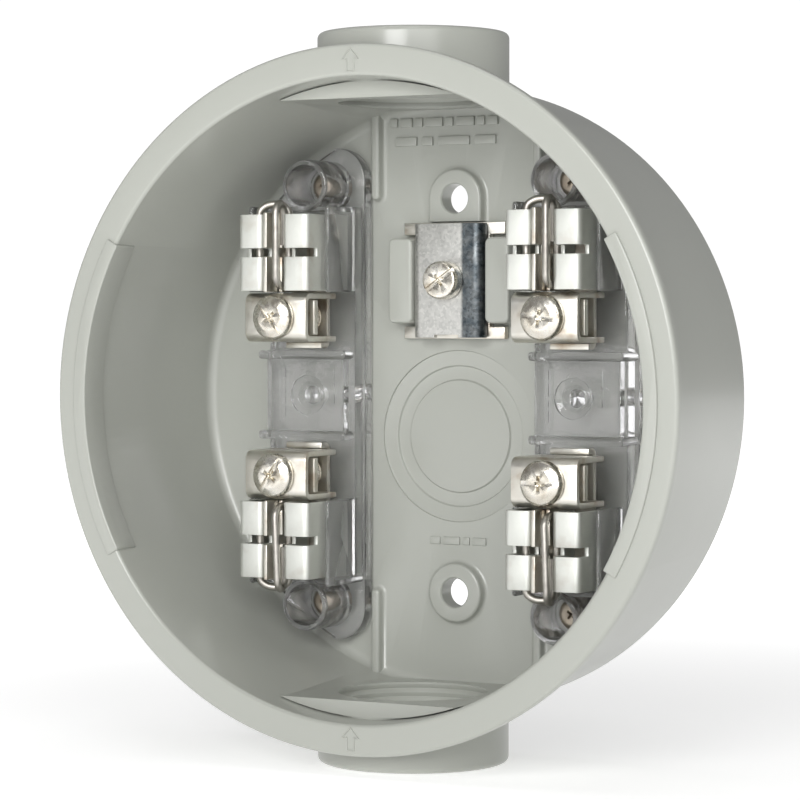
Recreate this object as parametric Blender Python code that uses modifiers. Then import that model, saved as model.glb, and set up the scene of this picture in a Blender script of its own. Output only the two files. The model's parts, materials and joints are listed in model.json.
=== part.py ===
"""A round surface-mounted meter socket: a cast enclosure with a conduit hub at its top and its bottom, two
clear terminal blocks that each carry two spring jaws with screw lugs, and a neutral clamp on the back wall.

Metres, +Z up. The back of the enclosure lies on Y = 0 and its mouth faces -Y, so the height of a feature
above the back is minus its Y. Each jaw and lug is set out in its own cell: across is along X from the cell's
centre line, height is above the back, and out is along Z away from the middle of the enclosure.
"""

import math

import bmesh
import bpy
from mathutils import Matrix, Vector

# Driving dimensions.
AIR = 0.0003  # gap left between pieces that touch

DEPTH = 0.060  # back face to rim face
MOUTH_RADIUS = 0.0804
RIM_WIDTH = 0.0081
RIM_THICKNESS = 0.0032
WALL = 0.0030
FLOOR = 0.0030
DRAFT = 0.0025  # how much the wall closes in from mouth to floor
FLOOR_FILLET = 0.0024
BACK_CORNER = 0.0028
EDGE = 0.0008  # rounding of the cast edges
LAND_PROUD = 0.0007
LAND_WIDTH = 0.0029
LAND_DEPTH = 0.0080
LAND_HALF_ANGLE = math.radians(29.5)

HUB_RADIUS = 0.0246
HUB_BORE_RADIUS = 0.0203
HUB_LENGTH = 0.0131  # how far a hub stands out past the top of the mouth circle
HUB_BACK_SPACE = 0.0031  # back face to the nearest side of a hub
HUB_EDGE = 0.0014
HUB_PAD_DROP = 0.0048  # flat pad inside, this far in from the mouth circle

MOUNT_HOLE_OUT = 0.052
MOUNT_HOLE_RADIUS = 0.00385
MOUNT_BOSS_RADIUS = 0.0078
MOUNT_BOSS_HEIGHT = 0.0025
UPPER_BOSS_LENGTH = 0.0060

KNOCKOUT_Z = -0.0107
KNOCKOUT_RADII = (0.0227, 0.01845, 0.01475)
KNOCKOUT_STEP = 0.0006
KNOCKOUT_GROOVE = 0.0005

LOCATING_RIB_WIDTH = 0.0026
LOCATING_RIB_HEIGHT = 0.0025
LOCATING_RIB_INNER = 0.052
SADDLE_RIB_WIDTH = 0.0072
SADDLE_RIB_HEIGHT = 0.0062
SADDLE_RIB_LENGTH = 0.0226
SADDLE_RIB_ROUND = 0.0022

CELL_X = 0.0393  # centre line of the jaws and lugs, left and right
BLOCK_INNER = 0.0259
BLOCK_OUTER = 0.0544
BLOCK_FLANGE = 0.0042
BLOCK_CORNER = 0.009
PLATFORM_HEIGHT = 0.0120
PLATFORM_INNER = 0.0266
PLATFORM_OUTER = 0.0532
MIDDLE_HEIGHT = 0.0150
MIDDLE_HALF_LENGTH = 0.0119
MIDDLE_INNER = 0.0284
MIDDLE_OUTER = 0.0524
RIDGE_HEIGHT = 0.0168
RIDGE_WIDTH = 0.0024
MIDDLE_HOLE_RADIUS = 0.0024
MIDDLE_RECESS_RADIUS = 0.0054
MIDDLE_RECESS_DEPTH = 0.0010
POCKET_WALL = 0.0015
POCKET_HEIGHT = 0.0250
END_WALL_HEIGHT = 0.0200
TOWER_X = 0.0368
TOWER_PAST_JAW = 0.0079  # outer end of a jaw to the centre of its screw tower
BLOCK_PAST_TOWER = 0.0104
PLATFORM_PAST_JAW = 0.0023
TOWER_HEIGHT = 0.0210
TOWER_RADIUS = 0.00685
TOWER_DRAFT = 0.0001
WELL_RADIUS = 0.00545
WELL_SEAT = 0.0076

BLOCK_SCREW_RADIUS = 0.0020
BLOCK_SCREW_HEAD_RADIUS = 0.0041
BLOCK_SCREW_HEAD = 0.0028
BLOCK_SCREW_TIP = 0.0011
SCREW_SLACK = 0.0004  # radial clearance of a clearance hole
THREAD_SLACK = 0.00015  # radial clearance left in place of a thread

SHEET = 0.0012
JAW_IN = 0.0277
JAW_LENGTH = 0.0200
JAW_FRONT = 0.0330
JAW_LEFT = -0.0106
JAW_RIGHT = 0.0108
LIP_LEFT = -0.0031
LIP_RIGHT = 0.0029
GUIDE_RETURN = 0.0110  # how far a guide's inner wall runs back from the lips
GUIDE_FOOT = 0.0040
BEND = 0.0011
SLOT = 0.0023
SLOT_DEPTH = 0.0050
CONTACT = 0.0011
CONTACT_PROUD = 0.0005
CONTACT_LEFT_INNER = -0.0014
CONTACT_RIGHT_INNER = -0.0011
CONTACT_RIGHT_SHORT = 0.0050
CONTACT_PIVOT_RISE = 0.0008  # a contact's foot to the line that it bends about

SPRING_RADIUS = 0.0010
SPRING_ARCH = 0.0026
SPRING_LEG_LEFT = -0.0059
SPRING_DEPTH = 0.0295

STRIP_HALF_WIDTH = 0.0055
STRIP = 0.0016
STRIP_TAB = 0.0032

LUG_OUT = 0.0207
LUG_LENGTH = 0.0128
LUG_HALF_WIDTH = 0.0093
LUG_FRONT = 0.0316
LUG_SHEET = 0.0015
LUG_LIFT = 0.0017  # strip to the open edges of the cage
LUG_BEND = 0.0017
NUT = 0.0020
NUT_FRONT = 0.0266
NUT_BOSS_RADIUS = 0.0042
LUG_SCREW_RADIUS = 0.0031
LUG_SCREW_HEAD_RADIUS = 0.0059
LUG_SCREW_HEAD = 0.0030
PRESSURE_PAD_RADIUS = 0.0043
PRESSURE_PAD = 0.0016
PRESSURE_PAD_LIFT = 0.0010

NEUTRAL_Z = 0.0304
NEUTRAL_HALF_LENGTH = 0.0153
NEUTRAL_BASE = 0.0023
NEUTRAL_BASE_HALF_WIDTH = 0.0150
NEUTRAL_BAR = 0.0032
NEUTRAL_PLATE_HALF_WIDTH = 0.0103
NEUTRAL_PLATE_FRONT = 0.0100
NEUTRAL_SHEET = 0.0016
NEUTRAL_LEG = 0.0036
NEUTRAL_NOTCH = 0.0072
NEUTRAL_SCREW_RADIUS = 0.0025
NEUTRAL_SCREW_HEAD_RADIUS = 0.00505
NEUTRAL_SCREW_HEAD = 0.0042
NEUTRAL_SCREW_TIP = 0.0006

ROUND_STEPS = 72
SMALL_STEPS = 20

# Places worked out from the sizes above.
RIM_RADIUS = MOUTH_RADIUS + RIM_WIDTH
FLOOR_RADIUS = MOUTH_RADIUS - DRAFT
HUB_HEIGHT = HUB_BACK_SPACE + HUB_RADIUS
HUB_END = MOUTH_RADIUS + HUB_LENGTH
HUB_PAD = MOUTH_RADIUS - HUB_PAD_DROP
PLATFORM_TOP = PLATFORM_HEIGHT + AIR
STRIP_FRONT = PLATFORM_TOP + STRIP
CONTACT_FOOT = STRIP_FRONT + AIR
CONTACT_PIVOT = CONTACT_FOOT + CONTACT_PIVOT_RISE
JAW_OUT = JAW_IN + JAW_LENGTH
TOWER_OUT = JAW_OUT + TOWER_PAST_JAW
BLOCK_END = TOWER_OUT + BLOCK_PAST_TOWER
PLATFORM_END = JAW_OUT + PLATFORM_PAST_JAW
SADDLE_RIB_X = NEUTRAL_PLATE_HALF_WIDTH + 0.0005 + SADDLE_RIB_WIDTH / 2
CORNERS = (("upper_left", -1, 1), ("upper_right", 1, 1), ("lower_left", -1, -1), ("lower_right", 1, -1))


# Scene and helpers.

def start_scene():
    """Empties the scene and makes one collection for the object and one for its cutters."""
    for obj in list(bpy.data.objects):
        bpy.data.objects.remove(obj, do_unlink=True)
    parts = bpy.data.collections.new("meter_socket")
    cutters = bpy.data.collections.new("cutters")
    bpy.context.scene.collection.children.link(parts)
    bpy.context.scene.collection.children.link(cutters)
    cutters.hide_render = True
    return parts, cutters


PARTS, CUTTERS = start_scene()


def material(name, color, roughness, metallic=0.0, transmission=0.0):
    """A Principled BSDF material in one plain finish."""
    made = bpy.data.materials.new(name)
    made.use_nodes = True
    shader = made.node_tree.nodes["Principled BSDF"]
    shader.inputs["Base Color"].default_value = (*color, 1.0)
    shader.inputs["Roughness"].default_value = roughness
    shader.inputs["Metallic"].default_value = metallic
    shader.inputs["Transmission Weight"].default_value = transmission
    return made


PAINT = material("grey_green_paint", (0.45, 0.47, 0.43), 0.35)
CLEAR = material("clear_polycarbonate", (0.82, 0.80, 0.85), 0.08, transmission=0.9)
TINNED = material("tinned_copper", (0.62, 0.62, 0.58), 0.38, metallic=1.0)
STEEL = material("spring_steel", (0.40, 0.38, 0.35), 0.32, metallic=1.0)
ZINC = material("zinc_plated_steel", (0.66, 0.64, 0.58), 0.30, metallic=1.0)


def finish(obj, name, mat, cutter=False):
    """Names an object, gives it its material and puts it in its collection."""
    obj.name = name
    for collection in list(obj.users_collection):
        collection.objects.unlink(obj)
    if cutter:
        CUTTERS.objects.link(obj)
        obj.hide_render = True
        obj.display_type = "WIRE"
    else:
        PARTS.objects.link(obj)
        obj.data.materials.append(mat)
    return obj


def mesh_object(name, mesh, mat=None):
    """An object for a mesh: a cutter when no material is given."""
    obj = bpy.data.objects.new(name, mesh)
    return finish(obj, name, mat, cutter=mat is None)


def bmesh_object(name, bm, mat=None):
    bmesh.ops.recalc_face_normals(bm, faces=bm.faces)
    mesh = bpy.data.meshes.new(name)
    bm.to_mesh(mesh)
    bm.free()
    return mesh_object(name, mesh, mat)


def box(name, xs, heights, zs, mat=None):
    """A box given by its X range, its range of heights above the back, and its Z range."""
    bm = bmesh.new()
    bmesh.ops.create_cube(bm, size=1.0)
    size = Vector((abs(xs[1] - xs[0]), abs(heights[1] - heights[0]), abs(zs[1] - zs[0])))
    middle = Vector((sum(xs) / 2, -sum(heights) / 2, sum(zs) / 2))
    bmesh.ops.scale(bm, vec=size, verts=bm.verts)
    bmesh.ops.translate(bm, vec=middle, verts=bm.verts)
    return bmesh_object(name, bm, mat)


def rod(name, x, z, radius, heights, mat=None, steps=SMALL_STEPS, end_radius=None):
    """A round bar along Y at (x, z); end_radius is its radius at the greater height."""
    bm = bmesh.new()
    length = abs(heights[1] - heights[0])
    top = radius if end_radius is None else end_radius
    bmesh.ops.create_cone(bm, cap_ends=True, segments=steps, radius1=radius, radius2=top, depth=length)
    turn = Matrix.Rotation(math.radians(90), 4, "X")
    bmesh.ops.transform(bm, matrix=turn, verts=bm.verts)
    bmesh.ops.translate(bm, vec=Vector((x, -sum(heights) / 2, z)), verts=bm.verts)
    return bmesh_object(name, bm, mat)


def turned(name, profile, mat=None, steps=ROUND_STEPS, ring=False):
    """A shape turned about the Y axis from (radius, height) points; a ring's profile closes on itself."""
    mesh = bpy.data.meshes.new(name)
    points = [(radius, 0.0, height) for radius, height in profile]
    edges = [(i, i + 1) for i in range(len(points) - 1)]
    if ring:
        edges.append((len(points) - 1, 0))
    mesh.from_pydata(points, edges, [])
    obj = mesh_object(name, mesh, mat)
    obj.rotation_euler = (math.radians(90), 0.0, 0.0)
    screw = obj.modifiers.new("turn", "SCREW")
    screw.axis = "Z"
    screw.steps = steps
    screw.render_steps = steps
    screw.use_merge_vertices = True
    screw.merge_threshold = 0.00001
    screw.use_smooth_shade = True
    return obj


def extruded(name, outline, heights, mat=None):
    """A flat outline in X and Z, extruded between two heights."""
    bm = bmesh.new()
    verts = [bm.verts.new((x, -heights[0], z)) for x, z in outline]
    face = bm.faces.new(verts)
    grown = bmesh.ops.extrude_face_region(bm, geom=[face])
    moved = [item for item in grown["geom"] if isinstance(item, bmesh.types.BMVert)]
    bmesh.ops.translate(bm, vec=Vector((0.0, heights[0] - heights[1], 0.0)), verts=moved)
    return bmesh_object(name, bm, mat)


def rounded_path(points, radius, steps=3):
    """The points of an open path with its inner corners rounded."""
    path = [Vector(points[0])]
    for before, corner, after in zip(points, points[1:], points[2:]):
        corner = Vector(corner)
        back = (Vector(before) - corner).normalized()
        ahead = (Vector(after) - corner).normalized()
        start, end = corner + back * radius, corner + ahead * radius
        for i in range(steps + 1):
            t = i / steps
            path.append(start * (1 - t) ** 2 + corner * 2 * t * (1 - t) + end * t * t)
    path.append(Vector(points[-1]))
    return path


def folded_sheet(name, path, along, thickness, mat):
    """A sheet bent to a path, as wide as the vector along, with the path in the middle of its thickness."""
    bm = bmesh.new()
    verts = [bm.verts.new(point) for point in path]
    edges = [bm.edges.new(pair) for pair in zip(verts, verts[1:])]
    grown = bmesh.ops.extrude_edge_only(bm, edges=edges)
    moved = [item for item in grown["geom"] if isinstance(item, bmesh.types.BMVert)]
    bmesh.ops.translate(bm, vec=along, verts=moved)
    obj = bmesh_object(name, bm, mat)
    solid = obj.modifiers.new("thickness", "SOLIDIFY")
    solid.thickness = thickness
    solid.offset = 0.0
    solid.use_even_offset = True
    return obj


def boolean(obj, other, operation="DIFFERENCE"):
    """Adds a Boolean with a helper from the cutters collection."""
    step = obj.modifiers.new(operation.lower(), "BOOLEAN")
    step.operation = operation
    step.object = other
    step.solver = "MANIFOLD"


def soften(obj, width, segments=2):
    """Rounds an object's edges."""
    bevel = obj.modifiers.new("soften", "BEVEL")
    bevel.width = width
    bevel.segments = segments
    bevel.limit_method = "ANGLE"
    bevel.angle_limit = math.radians(40)


def set_origin(obj, point):
    """Moves an object's origin to a point and leaves its shape where it is."""
    shift = Vector(point) - obj.location
    obj.data.transform(Matrix.Translation(-shift))
    obj.location = obj.location + shift


def screw_profile(head_radius, head_height, seat, shank_radius, tip):
    """A pan-head screw's outline, from its crown down to its tip, as (radius, height)."""
    crown = seat + head_height
    return [
        (0.0, crown),
        (head_radius * 0.62, crown - head_height * 0.06),
        (head_radius * 0.90, crown - head_height * 0.28),
        (head_radius, crown - head_height * 0.60),
        (head_radius, seat),
        (shank_radius, seat),
        (shank_radius, tip + shank_radius * 0.3),
        (shank_radius * 0.7, tip),
        (0.0, tip),
    ]


def add_screw(name, x, z, profile, turn, slot_width, slot_depth):
    """A screw at (x, z) with a slot and a cross cut in its head, the slot turned by an angle."""
    obj = turned(name, profile, ZINC, SMALL_STEPS)
    crown = profile[0][1]
    reach = profile[4][0]
    longer = reach * 2.4
    for index, (length, depth) in enumerate(((longer, slot_depth), (reach * 1.1, slot_depth * 1.6))):
        cutter = box(f"{name}_slot_{index}", (-length / 2, length / 2), (crown - depth, crown + depth),
                     (-slot_width / 2, slot_width / 2))
        cutter.data.transform(Matrix.Rotation(turn + index * math.radians(90), 4, "Y"))
        cutter.location = (x, 0.0, z)
        boolean(obj, cutter)
    obj.location = (x, 0.0, z)
    return obj


# The enclosure.

def arc(radius, start, end, steps):
    """Points (x, z) along a circle about the enclosure's axis."""
    angles = [start + (end - start) * i / steps for i in range(steps + 1)]
    return [(radius * math.cos(a), radius * math.sin(a)) for a in angles]


def shell_profile():
    """The enclosure's wall, from the floor's middle out to the rim and back under to the axis."""
    wall_outer = MOUTH_RADIUS + WALL
    back_outer = FLOOR_RADIUS + WALL
    lip_back = DEPTH - RIM_THICKNESS
    fillet = FLOOR_FILLET
    corner = BACK_CORNER
    third = 0.3
    return [
        (0.0, FLOOR),
        (FLOOR_RADIUS - fillet, FLOOR),
        (FLOOR_RADIUS - fillet * third, FLOOR + fillet * third),
        (FLOOR_RADIUS, FLOOR + fillet),
        (MOUTH_RADIUS, DEPTH - EDGE),
        (MOUTH_RADIUS + EDGE * third, DEPTH - EDGE * third),
        (MOUTH_RADIUS + EDGE, DEPTH),
        (RIM_RADIUS - EDGE, DEPTH),
        (RIM_RADIUS - EDGE * third, DEPTH - EDGE * third),
        (RIM_RADIUS, DEPTH - EDGE),
        (RIM_RADIUS, lip_back + EDGE),
        (RIM_RADIUS - EDGE, lip_back),
        (wall_outer + EDGE, lip_back),
        (wall_outer, lip_back - EDGE),
        (back_outer, corner),
        (back_outer - corner * third, corner * third),
        (back_outer - corner, 0.0),
        (0.0, 0.0),
    ]


def hub_helpers(name, side):
    """One hub: the boss that is added to the shell, the flat pad inside it, and the bore that is cut."""
    bm = bmesh.new()
    length = HUB_END - HUB_PAD
    bmesh.ops.create_cone(bm, cap_ends=True, segments=48, radius1=HUB_RADIUS, radius2=HUB_RADIUS,
                          depth=length)
    middle = Vector((0.0, -HUB_HEIGHT, side * (HUB_PAD + length / 2)))
    bmesh.ops.translate(bm, vec=middle, verts=bm.verts)
    end_z = side * HUB_END
    rim = [edge for edge in bm.edges if all(abs(v.co.z - end_z) < 1e-6 for v in edge.verts)]
    bmesh.ops.bevel(bm, geom=rim, offset=HUB_EDGE, segments=2, profile=0.5, affect="EDGES")
    boss = bmesh_object(f"{name}_boss", bm)
    mid_wall = FLOOR_RADIUS + WALL * 0.6
    half = math.acos(HUB_PAD / mid_wall)
    up = side * math.pi / 2
    segment = arc(mid_wall, up - half, up + half, 10)
    pad = extruded(f"{name}_pad", segment, (FLOOR / 2, HUB_HEIGHT + HUB_RADIUS))
    bm = bmesh.new()
    bore_length = (HUB_END - HUB_PAD) * 2
    bmesh.ops.create_cone(bm, cap_ends=True, segments=48, radius1=HUB_BORE_RADIUS, radius2=HUB_BORE_RADIUS,
                          depth=bore_length)
    bmesh.ops.translate(bm, vec=middle, verts=bm.verts)
    bore = bmesh_object(f"{name}_bore", bm)
    return boss, pad, bore


def land(name, side):
    """A raised arc on the rim's inner edge that also runs down inside the wall."""
    centre = 0.0 if side > 0 else math.pi
    start, end = centre - LAND_HALF_ANGLE, centre + LAND_HALF_ANGLE
    inner = MOUTH_RADIUS - LAND_PROUD
    outer = MOUTH_RADIUS + LAND_WIDTH
    steps = 12
    outline = arc(outer, start, end, steps) + arc(inner, end, start, steps)
    return extruded(name, outline, (DEPTH - LAND_DEPTH, DEPTH + LAND_PROUD))


def knockout_tools():
    """Stepped rings inside the floor, and a thin groove for each ring on the back."""
    large, medium, small = KNOCKOUT_RADII
    shallow, deep = FLOOR - KNOCKOUT_STEP, FLOOR - KNOCKOUT_STEP * 2
    above = FLOOR + KNOCKOUT_STEP
    steps = turned("knockout_steps", [
        (0.0, above), (large, above), (large, shallow), (medium, shallow), (medium, deep), (small, deep),
        (small, shallow), (0.0, shallow)], steps=48)
    tools = [steps]
    half = KNOCKOUT_GROOVE / 2
    for index, radius in enumerate(KNOCKOUT_RADII):
        groove = turned(f"knockout_groove_{index}", [
            (radius - half, -KNOCKOUT_GROOVE), (radius - half, KNOCKOUT_GROOVE),
            (radius + half, KNOCKOUT_GROOVE), (radius + half, -KNOCKOUT_GROOVE)], steps=48, ring=True)
        tools.append(groove)
    for tool in tools:
        tool.location = (0.0, 0.0, KNOCKOUT_Z)
    return tools


def floor_features():
    """What stands on the floor: mounting bosses, locating ribs and the two saddle ribs."""
    root = FLOOR / 2
    boss_top = FLOOR + MOUNT_BOSS_HEIGHT
    added = []
    foot = MOUNT_HOLE_OUT - UPPER_BOSS_LENGTH
    arched = [(x, MOUNT_HOLE_OUT + z) for x, z in arc(MOUNT_BOSS_RADIUS, 0.0, math.pi, 16)]
    arched += [(-MOUNT_BOSS_RADIUS, foot), (MOUNT_BOSS_RADIUS, foot)]
    added.append(extruded("upper_mount_boss", arched, (root, boss_top)))
    round_boss = rod("lower_mount_boss", 0.0, -MOUNT_HOLE_OUT, MOUNT_BOSS_RADIUS, (root, boss_top), steps=32)
    added.append(round_boss)
    rib_x = BLOCK_INNER - 0.0005 - LOCATING_RIB_WIDTH / 2
    rib_end = math.sqrt((FLOOR_RADIUS + WALL / 3) ** 2 - rib_x ** 2)
    for side_x in (-1, 1):
        for side_z in (-1, 1):
            half = LOCATING_RIB_WIDTH / 2
            rib = box(f"locating_rib_{side_x}_{side_z}", (side_x * rib_x - half, side_x * rib_x + half),
                      (root, FLOOR + LOCATING_RIB_HEIGHT), (side_z * LOCATING_RIB_INNER, side_z * rib_end))
            added.append(rib)
        half = SADDLE_RIB_WIDTH / 2
        rib = box(f"saddle_rib_{side_x}", (side_x * SADDLE_RIB_X - half, side_x * SADDLE_RIB_X + half),
                  (root, FLOOR + SADDLE_RIB_HEIGHT),
                  (NEUTRAL_Z - SADDLE_RIB_LENGTH / 2, NEUTRAL_Z + SADDLE_RIB_LENGTH / 2))
        soften(rib, SADDLE_RIB_ROUND, 3)
        added.append(rib)
    return added


def floor_holes():
    """Through holes for the mounting and neutral screws, and blind holes for the block screws."""
    over = FLOOR + MOUNT_BOSS_HEIGHT * 2
    holes = []
    for name, side in (("upper", 1), ("lower", -1)):
        holes.append(rod(f"{name}_mount_hole", 0.0, side * MOUNT_HOLE_OUT, MOUNT_HOLE_RADIUS,
                         (-FLOOR, over)))
    holes.append(rod("neutral_screw_hole", 0.0, NEUTRAL_Z, NEUTRAL_SCREW_RADIUS + SCREW_SLACK * 2,
                     (-FLOOR, over)))
    for side_x in (-1, 1):
        for side_z in (-1, 1):
            holes.append(rod(f"block_screw_hole_{side_x}_{side_z}", side_x * TOWER_X, side_z * TOWER_OUT,
                             BLOCK_SCREW_RADIUS + SCREW_SLACK, (BLOCK_SCREW_TIP - AIR, over)))
    return holes


def build_enclosure():
    shell = turned("enclosure", shell_profile(), PAINT)
    bores = []
    for name, side in (("top_hub", 1), ("bottom_hub", -1)):
        boss, pad, bore = hub_helpers(name, side)
        boolean(shell, boss, "UNION")
        boolean(shell, pad, "UNION")
        bores.append(bore)
    for side in (-1, 1):
        boolean(shell, land(f"land_{side}", side), "UNION")
    for feature in floor_features():
        boolean(shell, feature, "UNION")
    for tool in bores + knockout_tools() + floor_holes():
        boolean(shell, tool)


# The clear terminal blocks.

def build_block(name, side):
    """One clear block: flange, platform, raised middle, jaw pockets and two screw towers."""
    def across(inner, outer):
        return (side * inner, side * outer)

    back = FLOOR + AIR
    flange_top = back + BLOCK_FLANGE
    block = box(name, across(BLOCK_INNER, BLOCK_OUTER), (back, flange_top), (-BLOCK_END, BLOCK_END), CLEAR)
    corner_edges = block.modifiers.new("round_ends", "BEVEL")
    corner_edges.width = BLOCK_CORNER
    corner_edges.segments = 5
    corner_edges.limit_method = "WEIGHT"
    weights = block.data.attributes.new("bevel_weight_edge", "FLOAT", "EDGE")
    for edge in block.data.edges:
        first, second = (block.data.vertices[i].co for i in edge.vertices)
        along_depth = abs(first.x - second.x) < 1e-6 and abs(first.z - second.z) < 1e-6
        inner_side = abs(abs(first.x) - BLOCK_INNER) < 1e-6
        weights.data[edge.index].value = 1.0 if along_depth and inner_side else 0.0
    fit = rod(f"{name}_fit", 0.0, 0.0, FLOOR_RADIUS - FLOOR_FILLET - AIR, (0.0, flange_top * 2),
              steps=ROUND_STEPS)
    boolean(block, fit, "INTERSECT")

    low = back + BLOCK_FLANGE / 2
    pieces = [
        box(f"{name}_platform", across(PLATFORM_INNER, PLATFORM_OUTER), (low, PLATFORM_HEIGHT),
            (-PLATFORM_END, PLATFORM_END)),
        box(f"{name}_middle", across(MIDDLE_INNER, MIDDLE_OUTER), (low, MIDDLE_HEIGHT),
            (-MIDDLE_HALF_LENGTH + RIDGE_WIDTH / 2, MIDDLE_HALF_LENGTH - RIDGE_WIDTH / 2)),
    ]
    pocket_in = JAW_IN - AIR
    pocket_out = JAW_OUT + 0.0009
    centre = side * CELL_X
    pocket_left = centre + JAW_LEFT - AIR
    pocket_right = centre + JAW_RIGHT + AIR
    for end in (-1, 1):
        pieces.append(box(f"{name}_ridge_{end}", across(PLATFORM_INNER + 0.0003, PLATFORM_OUTER + 0.0009),
                          (low, RIDGE_HEIGHT),
                          (end * (MIDDLE_HALF_LENGTH - RIDGE_WIDTH), end * MIDDLE_HALF_LENGTH)))
        for tag, edge, step in (("left", pocket_left, -POCKET_WALL), ("right", pocket_right, POCKET_WALL)):
            pieces.append(box(f"{name}_pocket_{tag}_{end}", (edge, edge + step), (low, POCKET_HEIGHT),
                              (end * pocket_in, end * (pocket_out + POCKET_WALL))))
        pieces.append(box(f"{name}_end_wall_{end}",
                          (pocket_left - POCKET_WALL / 2, pocket_right + POCKET_WALL / 2),
                          (low, END_WALL_HEIGHT), (end * pocket_out, end * (pocket_out + POCKET_WALL))))
        pieces.append(rod(f"{name}_tower_{end}", side * TOWER_X, end * TOWER_OUT, TOWER_RADIUS + TOWER_DRAFT,
                          (low, TOWER_HEIGHT), steps=28, end_radius=TOWER_RADIUS))
    for piece in pieces:
        boolean(block, piece, "UNION")

    cuts = []
    for end in (-1, 1):
        cuts.append(rod(f"{name}_well_{end}", side * TOWER_X, end * TOWER_OUT, WELL_RADIUS,
                        (WELL_SEAT, TOWER_HEIGHT * 1.2), steps=24))
        cuts.append(rod(f"{name}_screw_hole_{end}", side * TOWER_X, end * TOWER_OUT,
                        BLOCK_SCREW_RADIUS + SCREW_SLACK, (0.0, WELL_SEAT * 1.5)))
    cuts.append(rod(f"{name}_middle_hole", centre, 0.0, MIDDLE_HOLE_RADIUS, (0.0, MIDDLE_HEIGHT * 1.5)))
    cuts.append(rod(f"{name}_middle_recess", centre, 0.0, MIDDLE_RECESS_RADIUS,
                    (MIDDLE_HEIGHT - MIDDLE_RECESS_DEPTH, MIDDLE_HEIGHT * 1.5), steps=24))
    for cut in cuts:
        boolean(block, cut)


def build_block_screws():
    for name, side_x, side_z in CORNERS:
        profile = screw_profile(BLOCK_SCREW_HEAD_RADIUS, BLOCK_SCREW_HEAD, WELL_SEAT + AIR,
                                BLOCK_SCREW_RADIUS, BLOCK_SCREW_TIP)
        add_screw(f"{name}_block_screw", side_x * TOWER_X, side_z * TOWER_OUT, profile, math.radians(40),
                  0.0011, 0.0008)


# The jaws.

def build_strip(name, centre, side):
    """The copper strip that joins a jaw to its lug, with a tab bent up at its inner end."""
    mid = PLATFORM_TOP + STRIP / 2
    inner = MIDDLE_HALF_LENGTH + AIR * 2 + STRIP / 2
    path = rounded_path([
        (centre - STRIP_HALF_WIDTH, -(STRIP_FRONT + STRIP_TAB), side * inner),
        (centre - STRIP_HALF_WIDTH, -mid, side * inner),
        (centre - STRIP_HALF_WIDTH, -mid, side * (JAW_OUT - 0.002))], STRIP)
    folded_sheet(f"{name}_terminal_strip", path, Vector((STRIP_HALF_WIDTH * 2, 0.0, 0.0)), STRIP, TINNED)


def build_guide(name, centre, side, tag, wall, lip):
    """One half of a jaw: an outer wall on a short foot, a flat lip, and an inner wall that returns."""
    toward = 1 if lip > wall else -1
    wall_mid = wall + toward * SHEET / 2
    lip_mid = lip - toward * SHEET / 2
    foot = PLATFORM_TOP + SHEET / 2
    front = JAW_FRONT - SHEET / 2
    start = min(side * JAW_IN, side * JAW_OUT)
    corners = [(wall_mid + toward * GUIDE_FOOT, foot), (wall_mid, foot), (wall_mid, front), (lip_mid, front),
               (lip_mid, JAW_FRONT - GUIDE_RETURN)]
    path = rounded_path([(centre + across, -height, start) for across, height in corners], BEND)
    guide = folded_sheet(f"{name}_jaw_guide_{tag}", path, Vector((0.0, 0.0, JAW_LENGTH)), SHEET, TINNED)
    middle = side * (JAW_IN + JAW_LENGTH / 2)
    reach = (centre + min(wall, lip) - 0.001, centre + max(wall, lip) + 0.001)
    slot = box(f"{name}_guide_slot_{tag}", reach, (JAW_FRONT - SLOT_DEPTH, JAW_FRONT + 0.001),
               (middle - SLOT / 2, middle + SLOT / 2))
    boolean(guide, slot)


def build_contact(name, centre, side, tag, inner, toward, front):
    """One flat contact leaf, hinged at its foot; toward is the way that it opens."""
    reach = (side * (JAW_IN - AIR), side * (JAW_OUT + CONTACT_PROUD))
    contact = box(f"{name}_jaw_contact_{tag}", (centre + inner, centre + inner + toward * CONTACT),
                  (CONTACT_FOOT, front), reach, TINNED)
    middle = side * (JAW_IN + JAW_LENGTH / 2)
    slot = box(f"{name}_contact_slot_{tag}", (centre + inner - 0.002, centre + inner + 0.002),
               (front - SLOT_DEPTH, front + 0.001), (middle - SLOT / 2, middle + SLOT / 2))
    pivot = Vector((centre + inner + toward * CONTACT / 2, -CONTACT_PIVOT, middle))
    set_origin(contact, pivot)
    boolean(contact, slot)


def arch(start, end, rise, steps=7):
    """Points over a half ellipse from start to end, rising along Z."""
    start, end = Vector(start), Vector(end)
    points = []
    for i in range(1, steps):
        angle = math.pi * i / steps
        point = start.lerp(end, (1 - math.cos(angle)) / 2)
        point.z += rise * math.sin(angle)
        points.append(point)
    return points


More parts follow.
